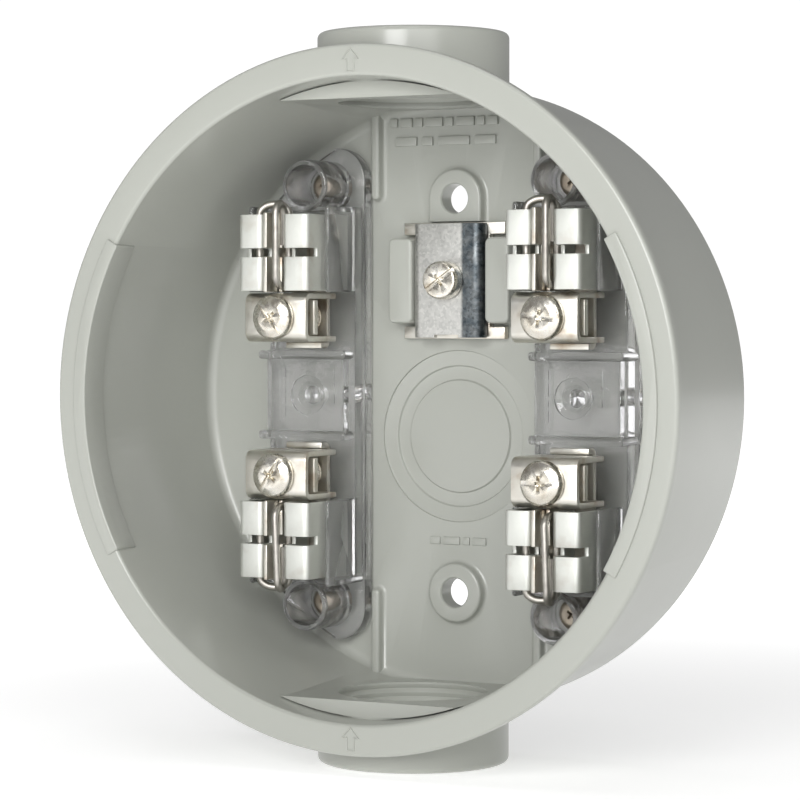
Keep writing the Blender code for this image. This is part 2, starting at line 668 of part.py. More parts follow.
def spring_path(centre, side):
    """The wire: up inside the left guide, over both contacts, down, round to the front, up, over and in."""
    low = JAW_IN + SPRING_ARCH + SPRING_RADIUS + AIR / 2
    half_way = JAW_IN + JAW_LENGTH / 2
    high = JAW_OUT + SPRING_RADIUS * 0.2
    middle = (CONTACT_RIGHT_INNER + CONTACT + LIP_RIGHT) / 2
    front = JAW_FRONT + SPRING_RADIUS + AIR / 2
    deep = SPRING_DEPTH - SPRING_RADIUS * 2 - AIR * 2
    stops = {
        "left_low": (SPRING_LEG_LEFT, SPRING_DEPTH, low), "left_high": (SPRING_LEG_LEFT, SPRING_DEPTH, high),
        "deep_high": (middle, deep, high), "deep_low": (middle, deep, low),
        "front_low": (middle, front, low), "front_high": (middle, front, high),
        "end_high": (middle, SPRING_DEPTH, high), "end_low": (middle, SPRING_DEPTH, half_way),
    }
    at = {}
    for key, (across, height, out) in stops.items():
        at[key] = Vector((centre + across, -height, side * out))
    path = [at["left_low"], at["left_high"]]
    path += arch(at["left_high"], at["deep_high"], side * SPRING_ARCH)
    path += [at["deep_high"], at["deep_low"]]
    path += arch(at["deep_low"], at["front_low"], -side * SPRING_ARCH)
    path += [at["front_low"], at["front_high"]]
    path += arch(at["front_high"], at["end_high"], side * SPRING_ARCH)
    path += [at["end_high"], at["end_low"]]
    return path


def build_spring(name, centre, side):
    curve = bpy.data.curves.new(f"{name}_jaw_spring", "CURVE")
    curve.dimensions = "3D"
    curve.bevel_depth = SPRING_RADIUS
    curve.bevel_resolution = 2
    curve.use_fill_caps = True
    path = spring_path(centre, side)
    spline = curve.splines.new("POLY")
    spline.points.add(len(path) - 1)
    for point, place in zip(spline.points, path):
        point.co = (*place, 1.0)
    finish(bpy.data.objects.new(curve.name, curve), curve.name, STEEL)


def build_jaw(name, centre, side):
    build_strip(name, centre, side)
    build_guide(name, centre, side, "left", JAW_LEFT, LIP_LEFT)
    build_guide(name, centre, side, "right", JAW_RIGHT, LIP_RIGHT)
    build_contact(name, centre, side, "left", CONTACT_LEFT_INNER, -1, JAW_FRONT + CONTACT_PROUD)
    build_contact(name, centre, side, "right", CONTACT_RIGHT_INNER, 1, JAW_FRONT - CONTACT_RIGHT_SHORT)
    build_spring(name, centre, side)


# The lugs.

def build_lug(name, centre, side):
    """A screw lug: a folded cage, a nut plate inside it, the screw, and the pressure pad on its tip."""
    middle = side * LUG_OUT
    reach = LUG_LENGTH / 2 - LUG_SHEET / 2
    back = STRIP_FRONT + LUG_LIFT
    web = LUG_FRONT - LUG_SHEET / 2
    x = centre - LUG_HALF_WIDTH
    path = rounded_path([(x, -back, middle - reach), (x, -web, middle - reach), (x, -web, middle + reach),
                         (x, -back, middle + reach)], LUG_BEND)
    cage = folded_sheet(f"{name}_lug_cage", path, Vector((LUG_HALF_WIDTH * 2, 0.0, 0.0)), LUG_SHEET, TINNED)
    boolean(cage, rod(f"{name}_cage_hole", centre, middle, LUG_SCREW_RADIUS + SCREW_SLACK,
                      (web - LUG_SHEET * 2, web + LUG_SHEET * 2)))

    room = LUG_LENGTH / 2 - LUG_SHEET - AIR
    nut = box(f"{name}_lug_nut_plate", (x + AIR, centre + LUG_HALF_WIDTH - AIR),
              (NUT_FRONT - NUT, NUT_FRONT), (middle - room, middle + room), TINNED)
    boss_top = LUG_FRONT - LUG_SHEET - AIR
    boss = rod(f"{name}_nut_boss", centre, middle, NUT_BOSS_RADIUS, (NUT_FRONT - NUT / 2, boss_top))
    boolean(nut, boss, "UNION")
    boolean(nut, rod(f"{name}_nut_hole", centre, middle, LUG_SCREW_RADIUS + THREAD_SLACK,
                     (NUT_FRONT - NUT * 2, LUG_FRONT)))

    pad_back = STRIP_FRONT + PRESSURE_PAD_LIFT
    pad_top = pad_back + PRESSURE_PAD
    pad = rod(f"{name}_lug_pressure_pad", 0.0, 0.0, PRESSURE_PAD_RADIUS, (pad_back, pad_top), ZINC)
    pad.location = (centre, 0.0, middle)
    profile = screw_profile(LUG_SCREW_HEAD_RADIUS, LUG_SCREW_HEAD, LUG_FRONT + AIR, LUG_SCREW_RADIUS,
                            pad_top + AIR)
    turns = {("left", 1): 50, ("right", 1): 8, ("left", -1): -55, ("right", -1): 0}
    tag = "left" if centre < 0 else "right"
    add_screw(f"{name}_lug_screw", centre, middle, profile, math.radians(turns[tag, side]), 0.0014, 0.0011)


# The neutral clamp.

def build_neutral():
    """A flat base between the saddle ribs, a channel-shaped clamp plate over it, and one screw."""
    low, high = NEUTRAL_Z - NEUTRAL_HALF_LENGTH, NEUTRAL_Z + NEUTRAL_HALF_LENGTH
    base_front = FLOOR + AIR + NEUTRAL_BASE
    base = box("neutral_base", (-NEUTRAL_BASE_HALF_WIDTH, NEUTRAL_BASE_HALF_WIDTH),
               (FLOOR + AIR, base_front), (low, high), TINNED)
    waist = SADDLE_RIB_X - SADDLE_RIB_WIDTH / 2 - AIR
    for side in (-1, 1):
        gap = box(f"neutral_base_gap_{side}", (side * waist, side * NEUTRAL_BASE_HALF_WIDTH * 1.2),
                  (0.0, base_front * 2), (low + NEUTRAL_BAR, high - NEUTRAL_BAR))
        boolean(base, gap)
    boolean(base, rod("neutral_base_hole", 0.0, NEUTRAL_Z, NEUTRAL_SCREW_RADIUS + THREAD_SLACK,
                      (0.0, base_front * 2)))

    edge = NEUTRAL_PLATE_HALF_WIDTH - NEUTRAL_SHEET / 2
    front = NEUTRAL_PLATE_FRONT - NEUTRAL_SHEET / 2
    legs = NEUTRAL_PLATE_FRONT - NEUTRAL_LEG
    corners = [(-edge, legs), (-edge, front), (edge, front), (edge, legs)]
    path = rounded_path([(across, -height, low + AIR) for across, height in corners], NEUTRAL_SHEET)
    along = Vector((0.0, 0.0, high - low - AIR * 2))
    plate = folded_sheet("neutral_clamp_plate", path, along, NEUTRAL_SHEET, ZINC)
    tall = (legs - NEUTRAL_SHEET, NEUTRAL_PLATE_FRONT + NEUTRAL_SHEET)
    boolean(plate, rod("neutral_plate_hole", 0.0, NEUTRAL_Z, NEUTRAL_SCREW_RADIUS + SCREW_SLACK, tall))
    boolean(plate, box("neutral_plate_notch", (-NEUTRAL_NOTCH / 2, NEUTRAL_NOTCH / 2), tall,
                       (low - 0.001, low + AIR + 0.0007)))
    set_origin(plate, (0.0, 0.0, NEUTRAL_Z))

    seat = NEUTRAL_PLATE_FRONT + AIR
    crown = seat + NEUTRAL_SCREW_HEAD
    radius = NEUTRAL_SCREW_HEAD_RADIUS
    profile = [
        (0.0, crown), (radius * 0.8, crown - NEUTRAL_SCREW_HEAD * 0.05), (radius * 0.93, crown - 0.0006),
        (radius, crown - 0.0014), (radius, seat), (NEUTRAL_SCREW_RADIUS, seat),
        (NEUTRAL_SCREW_RADIUS, NEUTRAL_SCREW_TIP + 0.0008), (NEUTRAL_SCREW_RADIUS * 0.7, NEUTRAL_SCREW_TIP),
        (0.0, NEUTRAL_SCREW_TIP)]
    add_screw("neutral_screw", 0.0, NEUTRAL_Z, profile, math.radians(-35), 0.0013, 0.0012)


def main():
    build_enclosure()
    build_block("left_terminal_block", -1)
    build_block("right_terminal_block", 1)
    build_block_screws()
    for name, side_x, side_z in CORNERS:
        centre = side_x * CELL_X
        build_jaw(name, centre, side_z)
        build_lug(name, centre, side_z)
    build_neutral()


main()
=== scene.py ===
# %% Load the frame
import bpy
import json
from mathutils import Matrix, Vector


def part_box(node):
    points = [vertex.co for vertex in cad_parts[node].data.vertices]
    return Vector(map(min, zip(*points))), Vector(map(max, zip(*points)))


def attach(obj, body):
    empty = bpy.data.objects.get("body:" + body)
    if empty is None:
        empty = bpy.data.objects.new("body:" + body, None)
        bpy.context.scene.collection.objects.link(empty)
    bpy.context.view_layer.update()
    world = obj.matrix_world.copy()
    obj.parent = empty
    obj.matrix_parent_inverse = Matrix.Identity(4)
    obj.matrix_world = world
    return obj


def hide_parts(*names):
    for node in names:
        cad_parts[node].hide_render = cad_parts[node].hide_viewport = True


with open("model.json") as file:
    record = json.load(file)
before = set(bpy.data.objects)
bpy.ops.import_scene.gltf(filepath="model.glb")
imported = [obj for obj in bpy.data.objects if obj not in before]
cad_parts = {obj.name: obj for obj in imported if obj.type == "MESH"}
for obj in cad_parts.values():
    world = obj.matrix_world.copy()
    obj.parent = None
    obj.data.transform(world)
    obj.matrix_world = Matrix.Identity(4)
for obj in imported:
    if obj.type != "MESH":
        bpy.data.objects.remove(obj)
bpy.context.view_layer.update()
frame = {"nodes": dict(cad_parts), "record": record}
print("pieces in the frame:", len(frame["nodes"]))

# %% [markdown]
# This lesson finishes a round meter socket: a painted die casting that holds two clear terminal blocks,
# four sprung jaws with screw lugs, and a neutral clamp. The frame gives every piece's place and size. We
# could only add materials to its plain solids, but they have coarse curves and no thread, recess or rolled
# edge, so we make each piece again at full detail in the space that its solid holds.

# %% Modules and the places that the frame gives
import json
import math

import bmesh
import bpy
from mathutils import Matrix, Vector

MM = 0.001
ROOT = "enclosure_body"
MOUNTS = {mount["name"]: Vector(mount["pos_m"]) for mount in frame["record"]["mounts"]}
SHELL_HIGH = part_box("enclosure")[1]
DEPTH = -MOUNTS["rim_face"].y
HUB_HEIGHT = -MOUNTS["top_hub_end"].y
HUB_END = SHELL_HIGH.z
RIM_RADIUS = SHELL_HIGH.x
CORNERS = ("upper_left", "upper_right", "lower_left", "lower_right")
print(f"rim {2 * RIM_RADIUS / MM:.1f} mm across, {DEPTH / MM:.1f} mm deep")
print(f"{2 * HUB_END / MM:.1f} mm over the hubs")

# %% [markdown]
# Most shapes here come from a few moves: turn a profile, extrude an outline, fold a sheet, and join or cut
# the results with Booleans. Blender's modifiers do all of these, but a modifier that stays live makes each
# later step slower, so each helper settles its modifiers into a plain mesh. A height is a distance in front
# of the wall, which is minus Y.

# %% Helpers that make a mesh object
def shade(obj, degrees=38):
    """Smooth shading, with a crease wherever two faces meet at more than this angle."""
    obj.data.shade_smooth()
    obj.data.set_sharp_from_angle(angle=math.radians(degrees))
    return obj


def new_object(name, bm):
    """Turns a bmesh into an object in the scene."""
    bmesh.ops.recalc_face_normals(bm, faces=bm.faces[:])
    mesh = bpy.data.meshes.new(name)
    bm.to_mesh(mesh)
    bm.free()
    obj = bpy.data.objects.new(name, mesh)
    bpy.context.scene.collection.objects.link(obj)
    return shade(obj)


def settle(obj):
    """Applies all of an object's modifiers."""
    graph = bpy.context.evaluated_depsgraph_get()
    mesh = bpy.data.meshes.new_from_object(obj.evaluated_get(graph))
    obj.modifiers.clear()
    obj.data = mesh
    return shade(obj)


def soften(obj, width, segments=3, degrees=40):
    """Rounds every edge that is sharper than an angle."""
    bevel = obj.modifiers.new("soften", "BEVEL")
    bevel.width = width
    bevel.segments = segments
    bevel.limit_method = "ANGLE"
    bevel.angle_limit = math.radians(degrees)
    return settle(obj)


def combine(obj, others, operation="DIFFERENCE"):
    """Cuts or joins other objects, which are used up."""
    for other in others:
        step = obj.modifiers.new(operation.lower(), "BOOLEAN")
        step.operation = operation
        step.object = other
        step.solver = "EXACT"
    settle(obj)
    for other in others:
        bpy.data.objects.remove(other, do_unlink=True)
    return obj


def gather(obj, others):
    """Adds other objects' meshes to one object as they are."""
    bm = bmesh.new()
    for source in (obj, *others):
        bm.from_mesh(source.data)
    bm.to_mesh(obj.data)
    bm.free()
    for other in others:
        bpy.data.objects.remove(other, do_unlink=True)
    return shade(obj)


print("helpers ready")

# %% [markdown]
# A casting, a bent sheet and a turned screw all have rounded corners, and the radius tells the eye how each
# was made. So every outline here is a list of corners with a radius each, and one function turns the
# corners into arcs. A Bevel modifier could round them later, but on a profile it is simpler to round first.

# %% Rounded paths and the shapes made from them
def rounded(corners, steps=5):
    """A path through (x, y, radius) corners, each with a radius over 0 turned into an arc."""
    path = []
    last = len(corners) - 1
    for i, (x, y, radius) in enumerate(corners):
        here = Vector((x, y))
        if radius <= 0 or i in (0, last):
            path.append(here)
            continue
        before = (Vector(corners[i - 1][:2]) - here).normalized()
        after = (Vector(corners[i + 1][:2]) - here).normalized()
        half = before.angle(after) / 2
        centre = here + (before + after).normalized() * (radius / math.sin(half))
        start = here + before * (radius / math.tan(half)) - centre
        end = here + after * (radius / math.tan(half)) - centre
        swing = start.angle_signed(end)
        for k in range(steps + 1):
            path.append(centre + Matrix.Rotation(-swing * k / steps, 2) @ start)
    return path


def turned(name, corners, x=0.0, z=0.0, steps=64, arc_steps=5):
    """A shape turned about an axis along Y from (radius, height, rounding) corners."""
    bm = bmesh.new()
    verts = [bm.verts.new((radius, -height, 0.0)) for radius, height in rounded(corners, arc_steps)]
    edges = [bm.edges.new(pair) for pair in zip(verts, verts[1:])]
    bmesh.ops.spin(bm, geom=verts + edges, cent=(0, 0, 0), axis=(0, 1, 0), angle=math.tau, steps=steps)
    bmesh.ops.remove_doubles(bm, verts=bm.verts, dist=1e-6)
    bmesh.ops.translate(bm, vec=(x, 0.0, z), verts=bm.verts)
    return new_object(name, bm)


def slab(name, outline, low, high):
    """An outline of (x, z) points extruded between two heights."""
    bm = bmesh.new()
    face = bm.faces.new([bm.verts.new((x, -low, z)) for x, z in outline])
    grown = bmesh.ops.extrude_face_region(bm, geom=[face])
    moved = [item for item in grown["geom"] if isinstance(item, bmesh.types.BMVert)]
    bmesh.ops.translate(bm, vec=(0.0, low - high, 0.0), verts=moved)
    return new_object(name, bm)


def block(name, xs, heights, zs):
    """A box between two X, two heights and two Z."""
    return slab(name, [(xs[0], zs[0]), (xs[1], zs[0]), (xs[1], zs[1]), (xs[0], zs[1])], *heights)


def arc(radius, start, end, steps, x=0.0, z=0.0):
    """Points (x, z) along a circle."""
    angles = [start + (end - start) * i / steps for i in range(steps + 1)]
    return [(x + radius * math.cos(a), z + radius * math.sin(a)) for a in angles]


def folded(name, path, along, thickness, edge=0.15 * MM):
    """A sheet that follows a path of points, as wide as the vector along, with softened edges."""
    bm = bmesh.new()
    verts = [bm.verts.new(point) for point in path]
    edges = [bm.edges.new(pair) for pair in zip(verts, verts[1:])]
    grown = bmesh.ops.extrude_edge_only(bm, edges=edges)
    moved = [item for item in grown["geom"] if isinstance(item, bmesh.types.BMVert)]
    bmesh.ops.translate(bm, vec=along, verts=moved)
    obj = new_object(name, bm)
    solid = obj.modifiers.new("thickness", "SOLIDIFY")
    solid.thickness = thickness
    solid.offset = 0.0
    solid.use_even_offset = True
    settle(obj)
    return soften(obj, edge, 2, 50) if edge else obj


print("a rounded square corner has", len(rounded([(0, 0, 0), (1, 0, 0.2), (1, 1, 0)])), "points")

# %% [markdown]
# Paint, tin, zinc and moulded plastic all look flat when they are one colour. A real finish changes a
# little over a few centimetres, has finer marks over a few millimetres, and its gloss changes with both.
# One builder wires that up: broad noise tints the colour, fine noise changes the roughness, and a third one
# is the bump. Images could do it too, but noise needs no unwrapping and holds up close.

# %% A builder for mottled finishes
def shader_nodes(name):
    """A new material with its node tree and its Principled shader."""
    made = bpy.data.materials.new(name)
    made.use_nodes = True
    tree = made.node_tree
    return made, tree, tree.nodes["Principled BSDF"]


def noise(tree, scale, detail=4.0, stretch=(1, 1, 1)):
    """Noise in the object's own space, with its features stretched along an axis where asked."""
    place = tree.nodes.new("ShaderNodeTexCoord")
    mapping = tree.nodes.new("ShaderNodeMapping")
    mapping.inputs["Scale"].default_value = stretch
    texture = tree.nodes.new("ShaderNodeTexNoise")
    texture.inputs["Scale"].default_value = scale
    texture.inputs["Detail"].default_value = detail
    tree.links.new(place.outputs["Object"], mapping.inputs["Vector"])
    tree.links.new(mapping.outputs["Vector"], texture.inputs["Vector"])
    return texture.outputs["Fac"]


def ramp(tree, factor, stops):
    """A colour ramp with (position, colour) stops."""
    node = tree.nodes.new("ShaderNodeValToRGB")
    elements = node.color_ramp.elements
    while len(elements) < len(stops):
        elements.new(0.5)
    for element, (position, color) in zip(elements, stops):
        element.position = position
        element.color = (*color, 1.0)
    tree.links.new(factor, node.inputs["Fac"])
    return node.outputs["Color"]


def spread(tree, factor, low, high):
    """Stretches the middle of a noise to run from low to high."""
    node = tree.nodes.new("ShaderNodeMapRange")
    node.inputs["From Min"].default_value = 0.3
    node.inputs["From Max"].default_value = 0.7
    node.inputs["To Min"].default_value = low
    node.inputs["To Max"].default_value = high
    tree.links.new(factor, node.inputs["Value"])
    return node.outputs["Result"]


def bump(tree, shader, factor, height):
    """Adds a bump of a height in metres."""
    node = tree.nodes.new("ShaderNodeBump")
    node.inputs["Distance"].default_value = height
    node.inputs["Strength"].default_value = 1.0
    tree.links.new(factor, node.inputs["Height"])
    tree.links.new(node.outputs["Normal"], shader.inputs["Normal"])


def mottled(name, stops, gloss, patches, grain, grain_height, stretch=(1, 1, 1), metallic=1.0):
    """A finish with tinted patches, a changing gloss and a fine grain, which is a height in metres."""
    made, tree, shader = shader_nodes(name)
    shader.inputs["Metallic"].default_value = metallic
    tree.links.new(ramp(tree, noise(tree, patches, 5.0), stops), shader.inputs["Base Color"])
    tree.links.new(spread(tree, noise(tree, patches * 3, 3.0), *gloss), shader.inputs["Roughness"])
    bump(tree, shader, noise(tree, grain, 3.0, stretch), grain_height)
    return made


print("finish builder ready")

# %% [markdown]
# The casting is sprayed light grey-green. The coat is glossy but not flat: it has the orange-peel ripple of
# sprayed enamel over a sand-smooth casting. A little clear coat on the shader gives the sharper highlight
# that sits over the softer one.

# %% The casting's paint
PAINT = mottled(
    "grey_green_enamel", [(0.25, (0.380, 0.390, 0.354)), (0.75, (0.392, 0.402, 0.366))], gloss=(0.30, 0.34),
    patches=14.0, grain=420.0, grain_height=0.015 * MM, metallic=0.0)
enamel = PAINT.node_tree.nodes["Principled BSDF"]
enamel.inputs["Coat Weight"].default_value = 0.3
enamel.inputs["Coat Roughness"].default_value = 0.16
print("paint:", len(PAINT.node_tree.nodes), "nodes")

# %% [markdown]
# The jaws, strips and lugs are copper sheet with a dull tin plate, rolled, so its grain runs one way. Where
# the plate is thin the copper warms it. The screws are zinc plated and passivated: bright, slightly yellow,
# with cloudy patches. The four that hold the blocks have gone dull, and the spring wire is bare and drawn.

# %% The metals
TIN = mottled(
    "dull_tin_plate", [(0.2, (0.60, 0.58, 0.53)), (0.42, (0.73, 0.74, 0.70)), (0.8, (0.79, 0.80, 0.76))],
    gloss=(0.52, 0.62), patches=120.0, grain=2600.0, grain_height=0.012 * MM, stretch=(1, 1, 0.25))
LUG_TIN = mottled(
    "bright_tin_plate", [(0.30, (0.50, 0.42, 0.33)), (0.44, (0.70, 0.67, 0.60)), (0.75, (0.80, 0.79, 0.74))],
    gloss=(0.30, 0.46), patches=150.0, grain=1500.0, grain_height=0.02 * MM)
ZINC = mottled(
    "zinc_plate", [(0.28, (0.46, 0.41, 0.33)), (0.46, (0.70, 0.66, 0.58)), (0.75, (0.83, 0.81, 0.76))],
    gloss=(0.16, 0.36), patches=260.0, grain=1400.0, grain_height=0.02 * MM)
DULL_ZINC = mottled(
    "dull_zinc_plate", [(0.3, (0.26, 0.22, 0.17)), (0.7, (0.46, 0.41, 0.34))],
    gloss=(0.30, 0.44), patches=300.0, grain=900.0, grain_height=0.02 * MM)
WIRE = mottled(
    "drawn_spring_wire", [(0.3, (0.34, 0.32, 0.29)), (0.7, (0.50, 0.48, 0.44))],
    gloss=(0.34, 0.46), patches=300.0, grain=3000.0, grain_height=0.01 * MM, stretch=(1, 1, 0.1))
print("metals:", [metal.name for metal in (TIN, LUG_TIN, ZINC, DULL_ZINC, WIRE)])

# %% [markdown]
# The clamp plate's zinc has grown as crystals a fraction of a millimetre across, which catch the light one
# by one. Voronoi cells give each crystal its own shade. A dark blue band down the plate near its right edge
# is a painted reflection of something dark, so a second, dark set of shades is mixed in there by the
# plate's own X.

# %% The crystalled zinc
REFLECTION_BAND_START, REFLECTION_BAND_FULL = 4.2 * MM, 5.0 * MM


def crystal_zinc():
    """Crystalled zinc with a painted dark reflection in a band down the right of the plate."""
    made, tree, shader = shader_nodes("crystal_zinc_plate")
    shader.inputs["Metallic"].default_value = 1.0
    place = tree.nodes.new("ShaderNodeTexCoord")
    cells = tree.nodes.new("ShaderNodeTexVoronoi")
    cells.inputs["Scale"].default_value = 1500.0
    tree.links.new(place.outputs["Object"], cells.inputs["Vector"])
    split = tree.nodes.new("ShaderNodeSeparateColor")
    tree.links.new(cells.outputs["Color"], split.inputs["Color"])
    warm = ramp(tree, split.outputs["Red"], [(0.0, (0.50, 0.50, 0.48)), (1.0, (0.64, 0.635, 0.61))])
    # The second, dark set of shades is a painted reflection of something dark, not a colour of the zinc.
    painted_dark_reflection = ramp(tree, split.outputs["Red"], [(0.0, (0.025, 0.034, 0.042)), (1.0, (0.085, 0.105, 0.12))])
    axis = tree.nodes.new("ShaderNodeSeparateXYZ")
    tree.links.new(place.outputs["Object"], axis.inputs["Vector"])
    band = tree.nodes.new("ShaderNodeMapRange")
    band.inputs["From Min"].default_value = REFLECTION_BAND_START
    band.inputs["From Max"].default_value = REFLECTION_BAND_FULL
    tree.links.new(axis.outputs["X"], band.inputs["Value"])
    # The mask for the painted dark reflection: full across the band by the plate's right edge, a little
    # broken by noise.
    painted_reflection_mask = tree.nodes.new("ShaderNodeMath")
    painted_reflection_mask.operation = "MULTIPLY"
    tree.links.new(band.outputs["Result"], painted_reflection_mask.inputs[0])
    tree.links.new(spread(tree, noise(tree, 420.0, 4.0), 0.8, 1.0), painted_reflection_mask.inputs[1])
    mix = tree.nodes.new("ShaderNodeMix")
    mix.data_type = "RGBA"
    factor, first, second = (mix.inputs[i] for i in (0, 6, 7))  # the colour sockets share their names
    tree.links.new(painted_reflection_mask.outputs["Value"], factor)
    tree.links.new(warm, first)
    tree.links.new(painted_dark_reflection, second)
    tree.links.new(mix.outputs[2], shader.inputs["Base Color"])
    tree.links.new(spread(tree, noise(tree, 300.0), 0.40, 0.52), shader.inputs["Roughness"])
    bump(tree, shader, noise(tree, 900.0, 4.0), 0.03 * MM)
    return made


CRYSTAL = crystal_zinc()
print("crystal zinc:", len(CRYSTAL.node_tree.nodes), "nodes")

# %% [markdown]
# The blocks are clear polycarbonate with a faint violet tint. A transmissive shader gives the bright edges
# and the bent view through it, and an alpha a little under one lets some light pass straight, which keeps a
# thick moulding from going dark. Moulding leaves a slight flow ripple, so the bump is weak and broad, and
# the roughness stays low.

# %% The clear plastic
CLEAR, tree, shader = shader_nodes("clear_polycarbonate")
tint = ramp(tree, noise(tree, 60.0, 3.0), [(0.3, (0.945, 0.935, 0.962)), (0.7, (0.985, 0.980, 0.992))])
tree.links.new(tint, shader.inputs["Base Color"])
tree.links.new(spread(tree, noise(tree, 160.0, 3.0), 0.01, 0.04), shader.inputs["Roughness"])
shader.inputs["Transmission Weight"].default_value = 1.0
shader.inputs["IOR"].default_value = 1.5
shader.inputs["Alpha"].default_value = 0.9
bump(tree, shader, noise(tree, 220.0, 2.0), 0.03 * MM)
print("clear plastic:", len(tree.nodes), "nodes")

# %% [markdown]
# Every finished piece gets its material and the body that it moves with, the solid that it stands for is
# hidden, and its name joins the list of pieces made. One function does all of it, so that none is forgotten.

# %% Hand a piece over
MADE = []


def hand_over(piece, node, material, body=ROOT):
    """Gives a piece its material and ties it to the frame in place of a solid."""
    piece.data.materials.clear()
    piece.data.materials.append(material)
    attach(piece, body)
    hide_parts(node)
    MADE.append(piece.name)
    return piece


# %% [markdown]
# The casting starts as one turned cup: floor, drafted wall, and a thin lip that the sealing ring grips. The
# corner radii are generous because molten metal has to flow round them. A turned profile is the natural way
# to make it, and everything that breaks the round shape is joined or cut afterwards.

# %% Turn the cup
FLOOR = 3.0 * MM
WALL = 3.0 * MM
MOUTH = 80.4 * MM
FLOOR_RADIUS = MOUTH - 2.5 * MM
LIP = 3.2 * MM

cup = turned("cast_enclosure", [
    (0.0, FLOOR, 0), (FLOOR_RADIUS, FLOOR, 2.6 * MM), (MOUTH, DEPTH, 1.0 * MM), (RIM_RADIUS, DEPTH, 1.0 * MM),
    (RIM_RADIUS, DEPTH - LIP, 0.9 * MM), (MOUTH + WALL, DEPTH - LIP, 0.9 * MM),
    (FLOOR_RADIUS + WALL, 0.0, 2.8 * MM), (0.0, 0.0, 0)], steps=180, arc_steps=6)
print("cup:", len(cup.data.polygons), "faces")

# %% [markdown]
# Each hub is a short thick pipe across the cup's edge, with a pipe thread in its bore and a flat pad where
# the bore opens inside. The thread's ridges could be a true helix, but at this size nobody can tell it from
# rings, and rings cut cleanly. So one turned cutter carries the whole thread.

# %% Add the two hubs
HUB_RADIUS = 24.6 * MM
HUB_BORE = 20.3 * MM
HUB_PAD = MOUTH - 4.8 * MM
THREAD_PITCH = 2.2 * MM
THREAD_DEPTH = 0.9 * MM
THREAD_RUN_IN = 0.5 * MM
MOUTH_RELIEF = 0.4 * MM
PAST = 2 * MM


def upright(obj, side):
    """Stands a shape turned about Y up on the hub's axis, pointing up or down."""
    turn = Matrix.Rotation(-side * math.pi / 2, 4, "X")
    obj.data.transform(Matrix.Translation((0.0, -HUB_HEIGHT, 0.0)) @ turn)
    return obj


def hub_parts(side):
    """The hub's boss, its inner pad and its threaded bore, as (joined, cut) lists."""
    tag = "top" if side > 0 else "bottom"
    boss = turned(f"{tag}_hub", [(0.0, HUB_PAD, 0), (HUB_RADIUS, HUB_PAD, 0), (HUB_RADIUS, HUB_END, 1.5 * MM),
                                 (0.0, HUB_END, 0)], steps=128)
    in_the_wall = FLOOR_RADIUS + WALL * 0.6
    half = math.acos(HUB_PAD / in_the_wall)
    up = side * math.pi / 2
    pad = slab(f"{tag}_pad", arc(in_the_wall, up - half, up + half, 24), FLOOR / 2, HUB_HEIGHT + HUB_RADIUS)
    start, stop = HUB_PAD - PAST, HUB_END + PAST
    crest = HUB_BORE - THREAD_DEPTH
    wall = [(0.0, start, 0), (crest, start, 0)]
    level = HUB_PAD + THREAD_RUN_IN
    while level < HUB_END - THREAD_PITCH:
        wall.append((crest, level, 0))
        wall.append((HUB_BORE, level + THREAD_PITCH / 2, 0))
        level += THREAD_PITCH
    wall += [(crest, level, 0), (HUB_BORE + MOUTH_RELIEF, HUB_END, 0), (HUB_BORE + MOUTH_RELIEF, stop, 0),
             (0.0, stop, 0)]
    bore = turned(f"{tag}_bore", wall, steps=96)
    return [upright(boss, side), pad], [upright(bore, side)]


JOINED, CUT = [], []
for side in (1, -1):
    joined, cut = hub_parts(side)
    JOINED += joined
    CUT += cut
print("hub threads:", round((HUB_END - HUB_PAD) / THREAD_PITCH), "ridges each")

# %% [markdown]
# The rim carries a raised land on each side, where the meter's ring seats, and each land runs a little way
# down the inside of the wall. Two small outlined arrows show which way is up. Each arrow is one closed wire
# whose centre lies on the rim's face, so half of it stands proud, which reads as a cast line.

# %% Lands and arrows on the rim
LAND_HALF = math.radians(29.5)
LAND_OUTER = MOUTH + 2.9 * MM
LAND_INNER = MOUTH - 0.7 * MM
LAND_PROUD = 0.7 * MM
LAND_DOWN = 8 * MM
ARROW_OUT = 84.2 * MM
ARROW_WIRE = 0.24 * MM
ARROW_LIFT = 0.02 * MM
for side in (0.0, math.pi):
    outline = arc(LAND_OUTER, side - LAND_HALF, side + LAND_HALF, 40)
    outline += arc(LAND_INNER, side + LAND_HALF, side - LAND_HALF, 40)
    land = soften(slab("rim_land", outline, DEPTH - LAND_DOWN, DEPTH + LAND_PROUD), 0.35 * MM, 3, 30)
    JOINED.append(land)


def wire_loop(name, points, radius, closed=True):
    """A round wire through points, as a mesh."""
    curve = bpy.data.curves.new(name, "CURVE")
    curve.dimensions = "3D"
    curve.bevel_depth = radius
    curve.bevel_resolution = 4
    curve.use_fill_caps = True
    spline = curve.splines.new("POLY")
    spline.points.add(len(points) - 1)
    spline.use_cyclic_u = closed
    for place, point in zip(spline.points, points):
        place.co = (*point, 1.0)
    holder = bpy.data.objects.new(name, curve)
    bpy.context.scene.collection.objects.link(holder)
    graph = bpy.context.evaluated_depsgraph_get()
    mesh = bpy.data.meshes.new_from_object(holder.evaluated_get(graph))
    bpy.data.objects.remove(holder, do_unlink=True)
    bm = bmesh.new()
    bm.from_mesh(mesh)
    bmesh.ops.remove_doubles(bm, verts=bm.verts, dist=1e-6)
    bpy.data.meshes.remove(mesh)
    return new_object(name, bm)


ARROWS = []
for side in (1, -1):
    shape = [(0, 2.9), (2.3, 0.4), (1.0, 0.4), (1.0, -2.7), (-1.0, -2.7), (-1.0, 0.4), (-2.3, 0.4)]
    points = [Vector((x * MM, -DEPTH - ARROW_LIFT, side * ARROW_OUT + z * MM)) for x, z in shape]
    ARROWS.append(wire_loop("rim_arrow", points, ARROW_WIRE))
print("lands and arrows:", len(JOINED), len(ARROWS))

# %% [markdown]
# On the floor stand the mounting bosses, four ribs that locate the blocks and two fat ribs beside the
# neutral clamp. A cast boss spreads into the floor with a fillet, so its profile flares out at the foot.
# That gives a real curve in the mesh, where a Boolean alone would leave a hard line.

